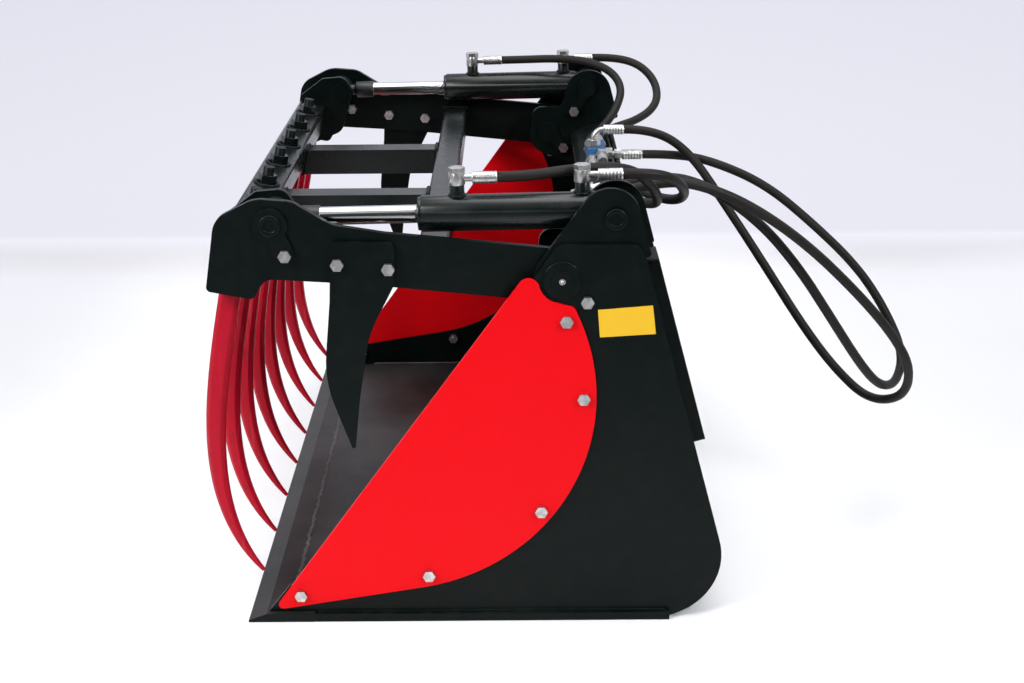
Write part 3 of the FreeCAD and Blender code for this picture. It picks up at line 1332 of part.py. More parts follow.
def write_parts():
    """Checks every sub-part and writes one file for each."""
    os.makedirs("parts", exist_ok=True)
    broken = failed_objects()
    broken += [part.Label for part in parts if part.Shape.isNull() or not part.Shape.isValid()]
    if broken:
        raise RuntimeError(f"not computed: {broken}")
    for part in parts:
        part.Shape.exportStep(os.path.join("parts", f"{part.Label}.step"))


build_bucket()
build_hitch()
build_pins()
build_bolts()
arm_bolts = build_grab()
for cylinder_side in SIDES:
    build_cylinder(cylinder_side)
build_rod_pin_flags(arm_bolts)
build_manifold()
build_couplers()
for hose_name, hose_route in HOSE_ROUTES.items():
    hose(hose_name, hose_route)
doc.recompute()
write_parts()
box = FreeCAD.BoundBox()
for part in parts:
    box.add(part.Shape.BoundBox)
print(f"{len(parts)} sub-parts, {box.XMin:.1f} to {box.XMax:.1f}, "
      f"{box.YMin:.1f} to {box.YMax:.1f}, {box.ZMin:.1f} to {box.ZMax:.1f} mm")
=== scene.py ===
"""Silage grab bucket with a hydraulic tine grab, in a bright photo studio.

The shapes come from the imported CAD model. This file adds the finishes, the hoses, the crimp marks
of the ferrules, the weld beads, the pin ends, the grease nipples, the blank label and the stage.
Everything is in metres, in the frame of the CAD model.
"""

import json
import math

import bpy
from bpy.props import FloatProperty, FloatVectorProperty, PointerProperty
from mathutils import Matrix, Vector


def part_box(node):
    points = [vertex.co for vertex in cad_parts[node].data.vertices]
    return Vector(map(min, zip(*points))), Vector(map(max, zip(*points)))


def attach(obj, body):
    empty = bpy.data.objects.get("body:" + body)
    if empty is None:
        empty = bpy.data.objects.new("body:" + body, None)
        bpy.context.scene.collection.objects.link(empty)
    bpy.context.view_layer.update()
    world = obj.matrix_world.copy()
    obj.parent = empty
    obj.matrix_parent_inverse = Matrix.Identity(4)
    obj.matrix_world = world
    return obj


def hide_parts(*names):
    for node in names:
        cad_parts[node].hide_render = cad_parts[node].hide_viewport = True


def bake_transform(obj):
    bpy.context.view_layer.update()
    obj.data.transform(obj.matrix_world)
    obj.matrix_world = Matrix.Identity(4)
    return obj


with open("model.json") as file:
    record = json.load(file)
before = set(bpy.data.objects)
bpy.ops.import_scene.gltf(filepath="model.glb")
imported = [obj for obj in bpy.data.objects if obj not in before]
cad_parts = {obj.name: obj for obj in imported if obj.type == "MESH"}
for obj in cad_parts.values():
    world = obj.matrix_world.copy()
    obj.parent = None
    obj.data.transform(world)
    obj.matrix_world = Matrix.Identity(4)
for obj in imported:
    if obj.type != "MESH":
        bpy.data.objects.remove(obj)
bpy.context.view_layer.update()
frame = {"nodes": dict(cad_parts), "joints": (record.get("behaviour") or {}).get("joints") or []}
NODES = frame["nodes"]

bl_info = {
    "name": "Silage Grab Bucket",
    "version": (1, 0, 0),
    "blender": (4, 2, 0),
    "location": "View3D > Sidebar > Grab",
    "description": "Dresses the CAD model of a silage grab bucket",
    "category": "Object",
}

SIDES = {"left": -1, "right": 1}
ACROSS = Vector((0, 1, 0))
JOINTS = {joint["name"]: joint for joint in frame["joints"]}
PIVOT = Vector(JOINTS["grab_hinge"]["pos_m"])
BASE_PIN = Vector(JOINTS["cylinder_pivot_left"]["pos_m"])
ROD_AXIS = Vector(JOINTS["rod_slide_left"]["axis"])
CYLINDER_Y = abs(BASE_PIN.y)
CYLINDER_UP = Vector((-ROD_AXIS.z, 0, ROD_AXIS.x))
PORTS = {"base": -0.051, "rod": -0.254}
FERRULE_SEAT = 0.0404

# Sizes of the CAD model that the weld beads follow.
SEAM = 0.0005
PLATE_INNER = 0.592
PLATE_OUTER = 0.600
ARM_INNER = 0.567
TUBE_SIDE = 0.050
TUBE_HEIGHT = 0.630
CROSS_TUBE_X = -0.050
FRAME_TUBE_Y = 0.180
BEAM_LEAN = math.radians(12)
BACK_LEAN = math.radians(15)
BACK_BEND = Vector((0.317, 0, 0.128))
BACK_OUT = Vector((math.cos(BACK_LEAN), 0, math.sin(BACK_LEAN)))
BACK_UP = Vector((-math.sin(BACK_LEAN), 0, math.cos(BACK_LEAN)))
HITCH_Y = 0.190
HITCH_WIDTH = 0.080

# Control points of the route of each hose, from its first fitting to its last.
HOSE_ROUTES = {
    "rod_hose_right": (
        (0.057, 0.5325, 0.7696), (0.108, 0.5325, 0.77052), (0.174, 0.512, 0.776),
        (0.243, 0.494, 0.774), (0.298, 0.458, 0.758), (0.32, 0.41, 0.728), (0.304, 0.362, 0.692),
        (0.279, 0.319, 0.669), (0.255, 0.279, 0.656), (0.23941, 0.24, 0.65165),
        (0.23941, 0.212, 0.65165),
    ),
    "base_hose_right": (
        (0.2599, 0.5325, 0.7733), (0.303, 0.5325, 0.77408), (0.358, 0.516, 0.764),
        (0.392, 0.472, 0.738), (0.399, 0.42, 0.708), (0.382, 0.376, 0.687), (0.347, 0.341, 0.673),
        (0.31, 0.309, 0.668), (0.2755, 0.278, 0.664), (0.25741, 0.24, 0.66165),
        (0.25741, 0.212, 0.66165),
    ),
    "rod_hose_left": (
        (0.057, -0.5325, 0.7696), (0.108, -0.5325, 0.77052), (0.174, -0.512, 0.776),
        (0.243, -0.494, 0.776), (0.29, -0.47, 0.76), (0.32, -0.437, 0.722), (0.331, -0.394, 0.688),
        (0.318, -0.336, 0.669), (0.292, -0.264, 0.66), (0.266, -0.186, 0.655),
        (0.248, -0.112, 0.6525), (0.23941, -0.046, 0.65165), (0.23941, 0.008, 0.65165),
    ),
    "base_hose_left": (
        (0.2599, -0.5325, 0.7733), (0.302, -0.5325, 0.77406), (0.344, -0.512, 0.76),
        (0.366, -0.472, 0.732), (0.37, -0.422, 0.704), (0.358, -0.366, 0.684), (0.336, -0.3, 0.672),
        (0.31, -0.23, 0.667), (0.284, -0.16, 0.664), (0.266, -0.096, 0.6623),
        (0.25741, -0.042, 0.66165), (0.25741, 0.008, 0.66165),
    ),
    "feed_hose_1": (
        (0.30241, 0.096, 0.70665), (0.362, 0.096, 0.70665), (0.432, 0.076, 0.666),
        (0.499, 0.042, 0.572), (0.573, 0, 0.464), (0.653, -0.06, 0.343), (0.714, -0.102, 0.267),
        (0.773, -0.155, 0.221), (0.823, -0.22, 0.253), (0.819, -0.272, 0.333), (0.772, -0.3, 0.412),
        (0.693, -0.33, 0.504), (0.591, -0.362, 0.605), (0.486, -0.392, 0.683),
        (0.394, -0.402, 0.723), (0.33, -0.4, 0.72572), (0.2732, -0.4, 0.7105),
    ),
    "feed_hose_2": (
        (0.34041, 0.096, 0.65565), (0.405, 0.096, 0.65565), (0.48, 0.098, 0.641),
        (0.586, 0.066, 0.6), (0.682, 0.025, 0.525), (0.767, 0, 0.445), (0.819, -0.03, 0.369),
        (0.851, -0.082, 0.294), (0.825, -0.15, 0.255), (0.778, -0.212, 0.273),
        (0.727, -0.26, 0.336), (0.658, -0.298, 0.443), (0.592, -0.32, 0.544),
        (0.513, -0.345, 0.639), (0.413, -0.362, 0.712), (0.335, -0.356, 0.72702),
        (0.2732, -0.356, 0.7105),
    ),
}


class PaintSettings(bpy.types.PropertyGroup):
    """Colours of the finishes."""

    black: FloatVectorProperty(
        name="Black paint", description="Semi-gloss paint of the bucket and the grab",
        subtype="COLOR", default=(0.0010, 0.0036, 0.0032), min=0, max=1,
    )
    red: FloatVectorProperty(
        name="Red powder coat", description="Side guards",
        subtype="COLOR", default=(0.69, 0.0010, 0.0050), min=0, max=1,
    )
    crimson: FloatVectorProperty(
        name="Crimson paint", description="Forged tines",
        subtype="COLOR", default=(0.44, 0.005, 0.020), min=0, max=1,
    )
    steel: FloatVectorProperty(
        name="Bare steel", description="Cutting edge and floor",
        subtype="COLOR", default=(0.035, 0.0335, 0.033), min=0, max=1,
    )
    weld: FloatVectorProperty(
        name="Weld steel", description="Bare weld beads",
        subtype="COLOR", default=(0.080, 0.077, 0.075), min=0, max=1,
    )
    zinc: FloatVectorProperty(
        name="Zinc plating", description="Bolts and fittings",
        subtype="COLOR", default=(0.66, 0.66, 0.65), min=0, max=1,
    )
    chrome: FloatVectorProperty(
        name="Chrome", description="Piston rods",
        subtype="COLOR", default=(0.82, 0.83, 0.84), min=0, max=1,
    )
    rubber: FloatVectorProperty(
        name="Hose rubber", description="Hydraulic hoses",
        subtype="COLOR", default=(0.0085, 0.0078, 0.0066), min=0, max=1,
    )
    blue: FloatVectorProperty(
        name="Blue paint", description="Manifold block",
        subtype="COLOR", default=(0.020, 0.085, 0.20), min=0, max=1,
    )
    yellow: FloatVectorProperty(
        name="Label yellow", description="Blank label on the side plate",
        subtype="COLOR", default=(0.74, 0.45, 0.010), min=0, max=1,
    )
    dust: FloatProperty(
        name="Dust", description="How much dust lies on the paint",
        default=0.12, min=0, max=1, subtype="FACTOR",
    )


class DetailSettings(bpy.types.PropertyGroup):
    """Sizes of the details that the CAD model leaves out."""

    edge: FloatProperty(
        name="Edge", description="Width of the soft edge of plates and blocks",
        default=0.0011, min=0, max=0.004, unit="LENGTH",
    )
    weld: FloatProperty(
        name="Weld bead", description="Radius of the weld beads",
        default=0.0036, min=0.001, max=0.008, unit="LENGTH",
    )
    hose: FloatProperty(
        name="Hose", description="Radius of the hydraulic hoses",
        default=0.0087, min=0.004, max=0.02, unit="LENGTH",
    )
    ferrule: FloatProperty(
        name="Ferrule", description="Radius of the crimped ferrules",
        default=0.0101, min=0.004, max=0.02, unit="LENGTH",
    )


class StageSettings(bpy.types.PropertyGroup):
    """Camera and lights."""

    focal: FloatProperty(
        name="Focal length", description="Focal length of the lens, in millimetres",
        default=56.25, min=20, max=200,
    )
    place: FloatVectorProperty(
        name="Camera", description="Place of the camera", subtype="TRANSLATION",
        default=(0.087, -3.050, 1.404),
    )
    turn: FloatVectorProperty(
        name="Aim", description="Rotation of the camera", subtype="EULER",
        default=(math.radians(69.979), math.radians(0.460), math.radians(0.032)),
    )
    wall: FloatProperty(
        name="Backdrop", description="Distance of the backdrop behind the bucket",
        default=1.49, min=1, max=10, unit="LENGTH",
    )
    key: FloatProperty(
        name="Key light", description="Power of the overhead soft light, in watts",
        default=24, min=0, max=1000,
    )
    front: FloatProperty(
        name="Front lights", description="Power of each front light, in watts",
        default=11.5, min=0, max=1000,
    )
    sky: FloatProperty(
        name="Ambient", description="Strength of the light from above, behind and the sides",
        default=0.56, min=0, max=10,
    )
    room: FloatProperty(
        name="Room", description="Share of the ambient light that comes from behind the camera",
        default=0.05, min=0, max=1, subtype="FACTOR",
    )


class GrabBucketSettings(bpy.types.PropertyGroup):
    """All settings of the grab bucket."""

    paint: PointerProperty(type=PaintSettings, name="Paint", description="Colours")
    detail: PointerProperty(type=DetailSettings, name="Details", description="Small sizes")
    stage: PointerProperty(type=StageSettings, name="Stage", description="Camera and lights")


class Value:
    """A number socket that can be used in Python expressions."""

    def __init__(self, nodes, socket):
        self.nodes = nodes
        self.socket = socket

    def math(self, operation, *others):
        """Math node of this value and others."""
        operands = dict(enumerate((self, *others)))
        outputs = self.nodes.node("ShaderNodeMath", {"operation": operation}, operands)
        return Value(self.nodes, outputs[0])

    def __add__(self, other):
        return self.math("ADD", other)

    def __mul__(self, other):
        return self.math("MULTIPLY", other)

    def __sub__(self, other):
        return self.math("SUBTRACT", other)

    def __rsub__(self, other):
        return self * -1 + other

    __radd__ = __add__
    __rmul__ = __mul__

    def larger(self, other):
        """The larger of two values."""
        return self.math("MAXIMUM", other)

    def ramp(self, low, high):
        """Smooth step from 0 at low to 1 at high."""
        outputs = self.nodes.node(
            "ShaderNodeMapRange", {"interpolation_type": "SMOOTHSTEP"},
            {"Value": self, "From Min": low, "From Max": high},
        )
        return Value(self.nodes, outputs["Result"])


class Nodes:
    """A node tree that is built from expressions."""

    def __init__(self, tree):
        self.tree = tree

    def node(self, kind, settings=None, sockets=None):
        """Outputs of a new node with these settings and these values or links of its sockets."""
        node = self.tree.nodes.new(kind)
        for name, value in (settings or {}).items():
            setattr(node, name, value)
        for name, value in (sockets or {}).items():
            self.plug(value, node.inputs[name])
        return node.outputs

    def plug(self, value, socket):
        """Links a value or a colour to a socket, or writes a constant there."""
        if isinstance(value, Value):
            value = value.socket
        if isinstance(value, bpy.types.NodeSocket):
            self.tree.links.new(value, socket)
        else:
            socket.default_value = value

    def part_of(self, vector, axis):
        """One component of a vector."""
        return Value(self, self.node("ShaderNodeSeparateXYZ", None, {"Vector": vector})[axis])

    def mix(self, factor, low, high):
        """Colour between two colours."""
        colours = [
            colour if isinstance(colour, bpy.types.NodeSocket) else (*colour[:3], 1)
            for colour in (low, high)
        ]
        sockets = {"Factor": factor, 6: colours[0], 7: colours[1]}
        return self.node("ShaderNodeMix", {"data_type": "RGBA"}, sockets)[2]


class Finish(Nodes):
    """A material with one Principled shader."""

    def __init__(self, name, **constants):
        self.material = bpy.data.materials.new(name)
        self.material.use_nodes = True
        super().__init__(self.material.node_tree)
        self.shader = self.tree.nodes["Principled BSDF"]
        for socket, value in constants.items():
            self.shader.inputs[socket.replace("_", " ")].default_value = value
        self.place = self.node("ShaderNodeTexCoord")["Object"]

    def noise(self, scale, detail=3.0, stretch=(1, 1, 1)):
        """Noise from 0 to 1 over the object, stretched along its axes."""
        place = self.place
        if stretch != (1, 1, 1):
            place = self.node("ShaderNodeMapping", None, {"Vector": place, "Scale": stretch})[0]
        sockets = {"Vector": place, "Scale": scale, "Detail": detail}
        return Value(self, self.node("ShaderNodeTexNoise", None, sockets)[0])

    def coordinate(self, axis):
        """One coordinate of the object, in metres."""
        return self.part_of(self.place, axis)

    def facing_up(self):
        """1 on faces that look up, 0 on the others."""
        normal = self.node("ShaderNodeNewGeometry")["Normal"]
        return self.part_of(normal, "Z").ramp(0.4, 1.0)

    def feed(self, socket, value):
        """Links a value or colour to the shader."""
        self.plug(value, self.shader.inputs[socket])

    def bump(self, height, distance):
        """Bump from a height, whose full size is a distance in metres."""
        sockets = {"Height": height, "Distance": distance}
        self.feed("Normal", self.node("ShaderNodeBump", None, sockets)[0])


def paint(name, colour, dust, roughness, gloss=0.12, grain=0.00006, dirt=(0.10, 0.098, 0.088)):
    """Sprayed paint: slight orange peel, patches of sheen and dust on what faces up."""
    finish = Finish(name, Specular_IOR_Level=gloss)
    broad = finish.noise(3.0, 4.0)
    fine = finish.noise(38.0, 5.0)
    dusty = (fine.ramp(0.42, 0.75) * 0.5 + broad.ramp(0.35, 0.75) * 0.5) * dust
    dusty = dusty * (finish.facing_up() * 0.75 + 0.25)
    finish.feed("Base Color", finish.mix(dusty, colour, dirt))
    finish.feed("Roughness", broad * 0.10 + fine * 0.10 + (roughness - 0.10) + dusty * 0.3)
    finish.bump(finish.noise(420.0, 2.0) + finish.noise(55.0, 2.0) * 1.5, grain)
    return finish.material


def crimson_paint(colours):
    """Paint of the forged tines: rubbed, with dark chips and streaks along the tine."""
    finish = Finish("forged_crimson", Specular_IOR_Level=0.15)
    broad = finish.noise(9.0, 4.0, (1, 1, 0.25))
    chips = finish.noise(120.0, 4.0, (1, 1, 0.35)).ramp(0.66, 0.72)
    streaks = finish.noise(60.0, 3.0, (1, 1, 0.06)).ramp(0.55, 0.8) * 0.35
    low = 1.0 - finish.coordinate("Z").ramp(0.05, 0.20)
    worn = chips * (0.55 + low * 0.45)
    shaded = [channel * 0.72 for channel in colours.crimson]
    dull = finish.mix(broad.ramp(0.35, 0.7), colours.crimson, shaded)
    streaked = finish.mix(streaks, dull, (0.62, 0.06, 0.08))
    chipped = finish.mix(worn, streaked, (0.055, 0.03, 0.03))
    inside_beam = finish.coordinate("Z").ramp(0.640, 0.644)
    finish.feed("Base Color", finish.mix(inside_beam, chipped, colours.black))
    finish.feed("Roughness", broad * 0.2 + 0.30 + worn * 0.2)
    finish.bump(finish.noise(150.0, 3.0) - chips * 0.8, 0.00025)
    return finish.material


def bare_steel(name, colour, along=(1, 1, 1), ends=True):
    """Hot-rolled steel: mottled scale, scratches, a trace of rust, and painted outer ends."""
    finish = Finish(name, Specular_IOR_Level=0.15)
    patches = finish.noise(5.0, 5.0)
    mottle = finish.noise(45.0, 4.0)
    scratches = finish.noise(160.0, 3.0, along).ramp(0.6, 0.85)
    light = [min(1, channel * 1.9) for channel in colour]
    cloudy = patches.ramp(0.38, 0.62) * 0.75 + mottle * 0.35
    base = finish.mix(cloudy, [channel * 0.8 for channel in colour], light)
    scratched = finish.mix(scratches * 0.4, base, [channel * 3 for channel in colour])
    rust = (mottle.ramp(0.62, 0.78) * patches.ramp(0.5, 0.72)) * 0.35
    rusty = finish.mix(rust, scratched, (0.16, 0.075, 0.035))
    painted = finish.coordinate("Y").math("ABSOLUTE").ramp(0.6085, 0.6092)
    if ends:
        rusty = finish.mix(painted, rusty, settings().paint.black)
    finish.feed("Base Color", rusty)
    finish.feed("Metallic", 0.75 - painted * 0.75)
    finish.feed("Roughness", patches * 0.25 + mottle * 0.15 + 0.26 + rust * 0.3)
    finish.bump(mottle + scratches * 0.3, 0.00025)
    return finish.material


def plated(name, colour, roughness):
    """Zinc plating: bright, with cloudy patches."""
    finish = Finish(name, Metallic=1.0)
    cloud = finish.noise(90.0, 4.0)
    dark = [channel * 0.62 for channel in colour]
    finish.feed("Base Color", finish.mix(cloud.ramp(0.3, 0.7), colour, dark))
    finish.feed("Roughness", cloud * 0.22 + (roughness - 0.1))
    finish.bump(finish.noise(600.0, 2.0), 0.00004)
    return finish.material


def rod_finish(colours):
    """Piston rod: painted eye and collar, then hard chrome."""
    finish = Finish("piston_rod", Metallic=1.0)
    chrome = finish.coordinate("X").ramp(-0.2325, -0.2315)
    smear = finish.noise(30.0, 3.0, (0.2, 1, 1))
    bright = finish.mix(smear.ramp(0.4, 0.8) * 0.25, colours.chrome, (0.4, 0.4, 0.4))
    finish.feed("Base Color", finish.mix(chrome, colours.black, bright))
    finish.feed("Metallic", chrome)
    finish.feed("Roughness", (1.0 - chrome) * 0.30 + 0.09 + smear * 0.06)
    return finish.material


def hose_rubber(colours):
    """Wrapped hose cover: matt, with the fine weave of the wrapping cloth."""
    finish = Finish("rubber_cover", Specular_IOR_Level=0.17)
    weave = finish.noise(900.0, 2.0)
    broad = finish.noise(14.0, 4.0)
    grey = [channel * 2.1 for channel in colours.rubber]
    finish.feed("Base Color", finish.mix(broad.ramp(0.35, 0.75) * 0.6, colours.rubber, grey))
    finish.feed("Roughness", broad * 0.2 + 0.40)
    finish.bump(weave, 0.0002)
    return finish.material


def set_material(piece, material):
    """One material on the whole piece."""
    piece.data.materials.clear()
    piece.data.materials.append(material)


def soften(node, width):
    """Rounds the sharp edges of a CAD node a little, with modifiers."""
    weld = node.modifiers.new("joined", "WELD")
    weld.merge_threshold = 0.00002
    bevel = node.modifiers.new("edge", "BEVEL")
    bevel.width = width
    bevel.segments = 2
    bevel.limit_method = "ANGLE"
    bevel.angle_limit = math.radians(40)
    bevel.harden_normals = True


def dress(names, material, width=0.0):
    """Gives CAD nodes their material and soft edges."""
    for name in names:
        set_material(NODES[name], material)
        if width:
            soften(NODES[name], width)


def add_mesh(name, points, faces, material, body, smooth=True):
    """New mesh piece that rides on a body."""
    mesh = bpy.data.meshes.new(name)
    mesh.from_pydata([tuple(point) for point in points], [], faces)
    mesh.update()
    if smooth:
        mesh.shade_smooth()
    piece = bpy.data.objects.new(name, mesh)
    bpy.context.scene.collection.objects.link(piece)
    mesh.materials.append(material)
    if body:
        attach(piece, body)
    return piece


def swept(points, radius_at, sides=16, closed=False):
    """Points and faces of a tube along a line; radius_at gives its radius at each point."""
    count = len(points)
    tangents = []
    for index in range(count):
        before = points[index - 1] if closed or index else points[0]
        after = points[(index + 1) % count] if closed or index < count - 1 else points[-1]
        tangents.append((after - before).normalized())
    normal = tangents[0].orthogonal().normalized()
    rings = []
    for index, (point, tangent) in enumerate(zip(points, tangents)):
        normal = (normal - tangent * normal.dot(tangent)).normalized()
        side = tangent.cross(normal)
        radius = radius_at(index)
        for step in range(sides):
            angle = math.tau * step / sides
            across = normal * (math.cos(angle) * radius)
            rings.append(point + across + side * (math.sin(angle) * radius))
    faces = []
    for ring in range(count if closed else count - 1):
        first = ring * sides
        second = (ring + 1) % count * sides
        for step in range(sides):
            after = (step + 1) % sides
            faces.append((first + step, first + after, second + after, second + step))
    if not closed:
        faces.append(tuple(range(sides))[::-1])
        faces.append(tuple(range((count - 1) * sides, count * sides)))
    return rings, faces


def settings():
    """Settings of the scene."""
    return bpy.context.scene.grab_bucket


class GRAB_OT_stage(bpy.types.Operator):
    """Adds the camera, the floor with its backdrop, and the studio light"""

    bl_idname = "grab.stage"
    bl_label = "Stage"

    def execute(self, context):
        stage = settings().stage
        camera = bpy.data.cameras.new("camera")
        camera.lens = stage.focal
        camera.sensor_width = 36
        camera_object = bpy.data.objects.new("camera", camera)
        context.scene.collection.objects.link(camera_object)
        camera_object.location = stage.place
        camera_object.rotation_euler = stage.turn
        context.scene.camera = camera_object
        self.add_floor(stage)
        self.add_lights(context, stage)
        context.scene.view_settings.view_transform = "Standard"
        return {"FINISHED"}

    @staticmethod
    def add_floor(stage):
        """Floor that curves up into the backdrop, which glows and is clear from behind. The glow is
        painted light: it dims towards the top of the backdrop, and a faint painted glow lies on the
        floor near the backdrop for the camera.
        """
        finish = Finish("studio_floor", Roughness=0.6, Specular_IOR_Level=0.2)
        x, y = finish.coordinate("X"), finish.coordinate("Y")
        far = (x * x + y * y).ramp(2.5, 7.0)
        seen = Value(finish, finish.node("ShaderNodeLightPath")["Is Camera Ray"])
        height = finish.coordinate("Z").ramp(0.01, 0.10).larger(far * seen)
        finish.feed("Base Color", finish.mix(height, (0.86, 0.865, 0.875), (0.10, 0.10, 0.11)))
        # Painted light: the glow of the backdrop gets dimmer towards its top, a painted falloff of
        # light.
        rise = finish.coordinate("Z").ramp(0.0, 1.6)
        glow = finish.mix(rise, (0.80, 0.80, 0.885), (0.70, 0.71, 0.80))
        # Painted light: for camera rays the floor in front of the backdrop glows a little, a
        # painted brightening.
        lit = (height + y.ramp(0.5, 1.37) * seen * 0.12).math("MINIMUM", 1.0)
        finish.feed("Emission Color", finish.mix(lit, (0, 0, 0), glow))
        finish.shader.inputs["Emission Strength"].default_value = 0.93
        behind = Value(finish, finish.node("ShaderNodeNewGeometry")["Backfacing"])
        finish.feed("Alpha", 1.0 - behind)
        cove, steps, reach = 0.12, 8, 12.0
        foot = stage.wall - cove
        profile = [(-9.0, 0.0), (foot, 0.0)]
        for step in range(1, steps + 1):
            angle = math.pi / 2 * step / steps
            profile.append((foot + cove * math.sin(angle), cove - cove * math.cos(angle)))
        profile.append((stage.wall, 7.0))
        points = [Vector((side, along, up)) for along, up in profile for side in (-reach, reach)]
        faces = [(2 * n, 2 * n + 1, 2 * n + 3, 2 * n + 2) for n in range(len(profile) - 1)]
        faces.append((2, 3, len(points) + 1, len(points)))
        points += [Vector((side, reach, 0)) for side in (-reach, reach)]
        floor = add_mesh("studio_floor", points, faces, finish.material, None)

    @staticmethod
    def add_lights(context, stage):
        """Ambient light that is dim behind the camera, a wide overhead light, two front lights."""
        world = bpy.data.worlds.new("studio")
        world.use_nodes = True
        background = world.node_tree.nodes["Background"]
        sky = Nodes(world.node_tree)
        seen = Value(sky, sky.node("ShaderNodeLightPath")["Is Camera Ray"])
        sky.plug(sky.mix(seen, (0.96, 0.97, 1.0), (0.80, 0.80, 0.885)), background.inputs["Color"])
        direction = sky.node("ShaderNodeTexCoord")["Generated"]
        bright = sky.part_of(direction, "Y").ramp(-0.75, 0.1)
        above = sky.part_of(direction, "Z").ramp(0.45, 0.85)
        share = bright.larger(above) * (1 - stage.room) + stage.room
        lit = share * stage.sky * (1.0 - seen) + seen * 0.93
        sky.plug(lit, background.inputs["Strength"])
        context.scene.world = world
        # Name, place, aim, width, spread in degrees and power of each area light.
        lights = (
            ("overhead", (0.2, 0.1, 3.2), (0.1, 0.1, 0), 2.6, 90, stage.key),
            ("front_left", (-2.9, -2.6, 2.6), (0, -0.3, 0.4), 1.3, 45, stage.front),
            ("front_right", (2.7, -2.9, 2.8), (0, -0.3, 0.4), 1.3, 45, stage.front * 0.8),
        )
        for name, place, aim, width, spread, power in lights:
            light = bpy.data.lights.new(name, "AREA")
            light.size = width
            light.spread = math.radians(spread)
            light.energy = power
            lamp = bpy.data.objects.new(name, light)
            context.scene.collection.objects.link(lamp)
            lamp.location = place
            direction = Vector(aim) - Vector(place)
            lamp.rotation_euler = direction.to_track_quat("-Z", "Y").to_euler()


def spline_of(name, route, radius, material):
    """NURBS curve whose control points are the points of the route."""
    curve = bpy.data.curves.new(name, "CURVE")
    curve.dimensions = "3D"
    curve.resolution_u = 10
    curve.bevel_depth = radius
    curve.bevel_resolution = 5
    curve.use_fill_caps = True
    spline = curve.splines.new("NURBS")
    spline.points.add(len(route) - 1)
    for point, place in zip(spline.points, route):
        point.co = (*place, 1)
    spline.order_u = 3
    spline.use_endpoint_u = True
    curve.materials.append(material)
    piece = bpy.data.objects.new(name, curve)
    bpy.context.scene.collection.objects.link(piece)
    return piece


def line_of(piece):
    """Points along a curve's own line; the curve loses its bevel."""
    piece.data.bevel_depth = 0
    bpy.context.view_layer.update()
    mesh = bpy.data.meshes.new_from_object(piece)
    return [vertex.co.copy() for vertex in mesh.vertices]


class GRAB_OT_hoses(bpy.types.Operator):
    """Adds the hydraulic hoses"""

    bl_idname = "grab.hoses"
    bl_label = "Hoses"

    def execute(self, context):
        radius = settings().detail.hose
        rubber = hose_rubber(settings().paint)
        for name, route in HOSE_ROUTES.items():
            piece = spline_of(f"{name}_curve", route, radius, rubber)
            path = None
            if name.startswith("feed"):
                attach(piece, "bucket")
            else:
                path = line_of(piece)
                bpy.data.objects.remove(piece)
                points, faces = swept(path, lambda index: radius, 20)
                piece = add_mesh(f"{name}_tube", points, faces, rubber, None)
                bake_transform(piece)
            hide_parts(name)
        return {"FINISHED"}


class GRAB_OT_black(bpy.types.Operator):
    """Paints plates, tubes, pins and cylinders black"""

    bl_idname = "grab.black"
    bl_label = "Black paint"

    def execute(self, context):
        colours = settings().paint
        black = paint("plate_black", colours.black, colours.dust, roughness=0.34)
        glossy = paint("tube_black", colours.black, colours.dust * 0.5, roughness=0.28, gloss=0.45,
                       grain=0.000008)
        edge = settings().detail.edge
        sided = (
            "side_plate", "cylinder_ear_outer", "cylinder_ear_inner", "hitch_strip",
            "grab_arm", "side_knife",
        )
        names = [f"{name}_{side}" for name in sided for side in SIDES]
        dress(names + ["nose_ears", "coupler_holder"], black, edge)
        dress(["rear_cross_member", "front_beam", "cross_tube", "frame_tubes"], glossy, edge)
        names = [f"{name}_{side}" for name in ("barrel", "gland") for side in SIDES]
        dress(names + ["tine_nuts"], glossy, edge * 0.6)
        dress(["pivot_pins", "base_pins", "rod_pin_flags"], black, edge * 1.3)
        return {"FINISHED"}


class GRAB_OT_shell(bpy.types.Operator):
    """Finishes the sheet: bare and dark inside, painted outside"""

    bl_idname = "grab.shell"
    bl_label = "Bare steel"

    def execute(self, context):
        colours = settings().paint
        steel = bare_steel("bare_steel", colours.steel, (1, 0.1, 1))
        dress(["shell_sheet", "cutting_edge"], steel, 0.0008)
        black = paint("black_foot", colours.black, colours.dust, roughness=0.42)
        dress(["wear_bars", "floor_skids"], black, 0.0008)
        return {"FINISHED"}


class GRAB_OT_guards(bpy.types.Operator):
    """Coats the side guards bright red"""

    bl_idname = "grab.guards"
    bl_label = "Side guards"

    def execute(self, context):
        colours = settings().paint
        red = paint("guard_red", colours.red, colours.dust * 0.25, roughness=0.38, gloss=0.11,
                    grain=0.0001, dirt=(0.30, 0.08, 0.07))
        dress(["side_guard_left", "side_guard_right"], red, settings().detail.edge)
        return {"FINISHED"}


class GRAB_OT_tines(bpy.types.Operator):
    """Paints the forged tines"""

    bl_idname = "grab.tines"
    bl_label = "Tines"

    def execute(self, context):
        crimson = crimson_paint(settings().paint)
        dress([f"tine_{number}" for number in range(1, 9)], crimson, 0.0012)
        return {"FINISHED"}


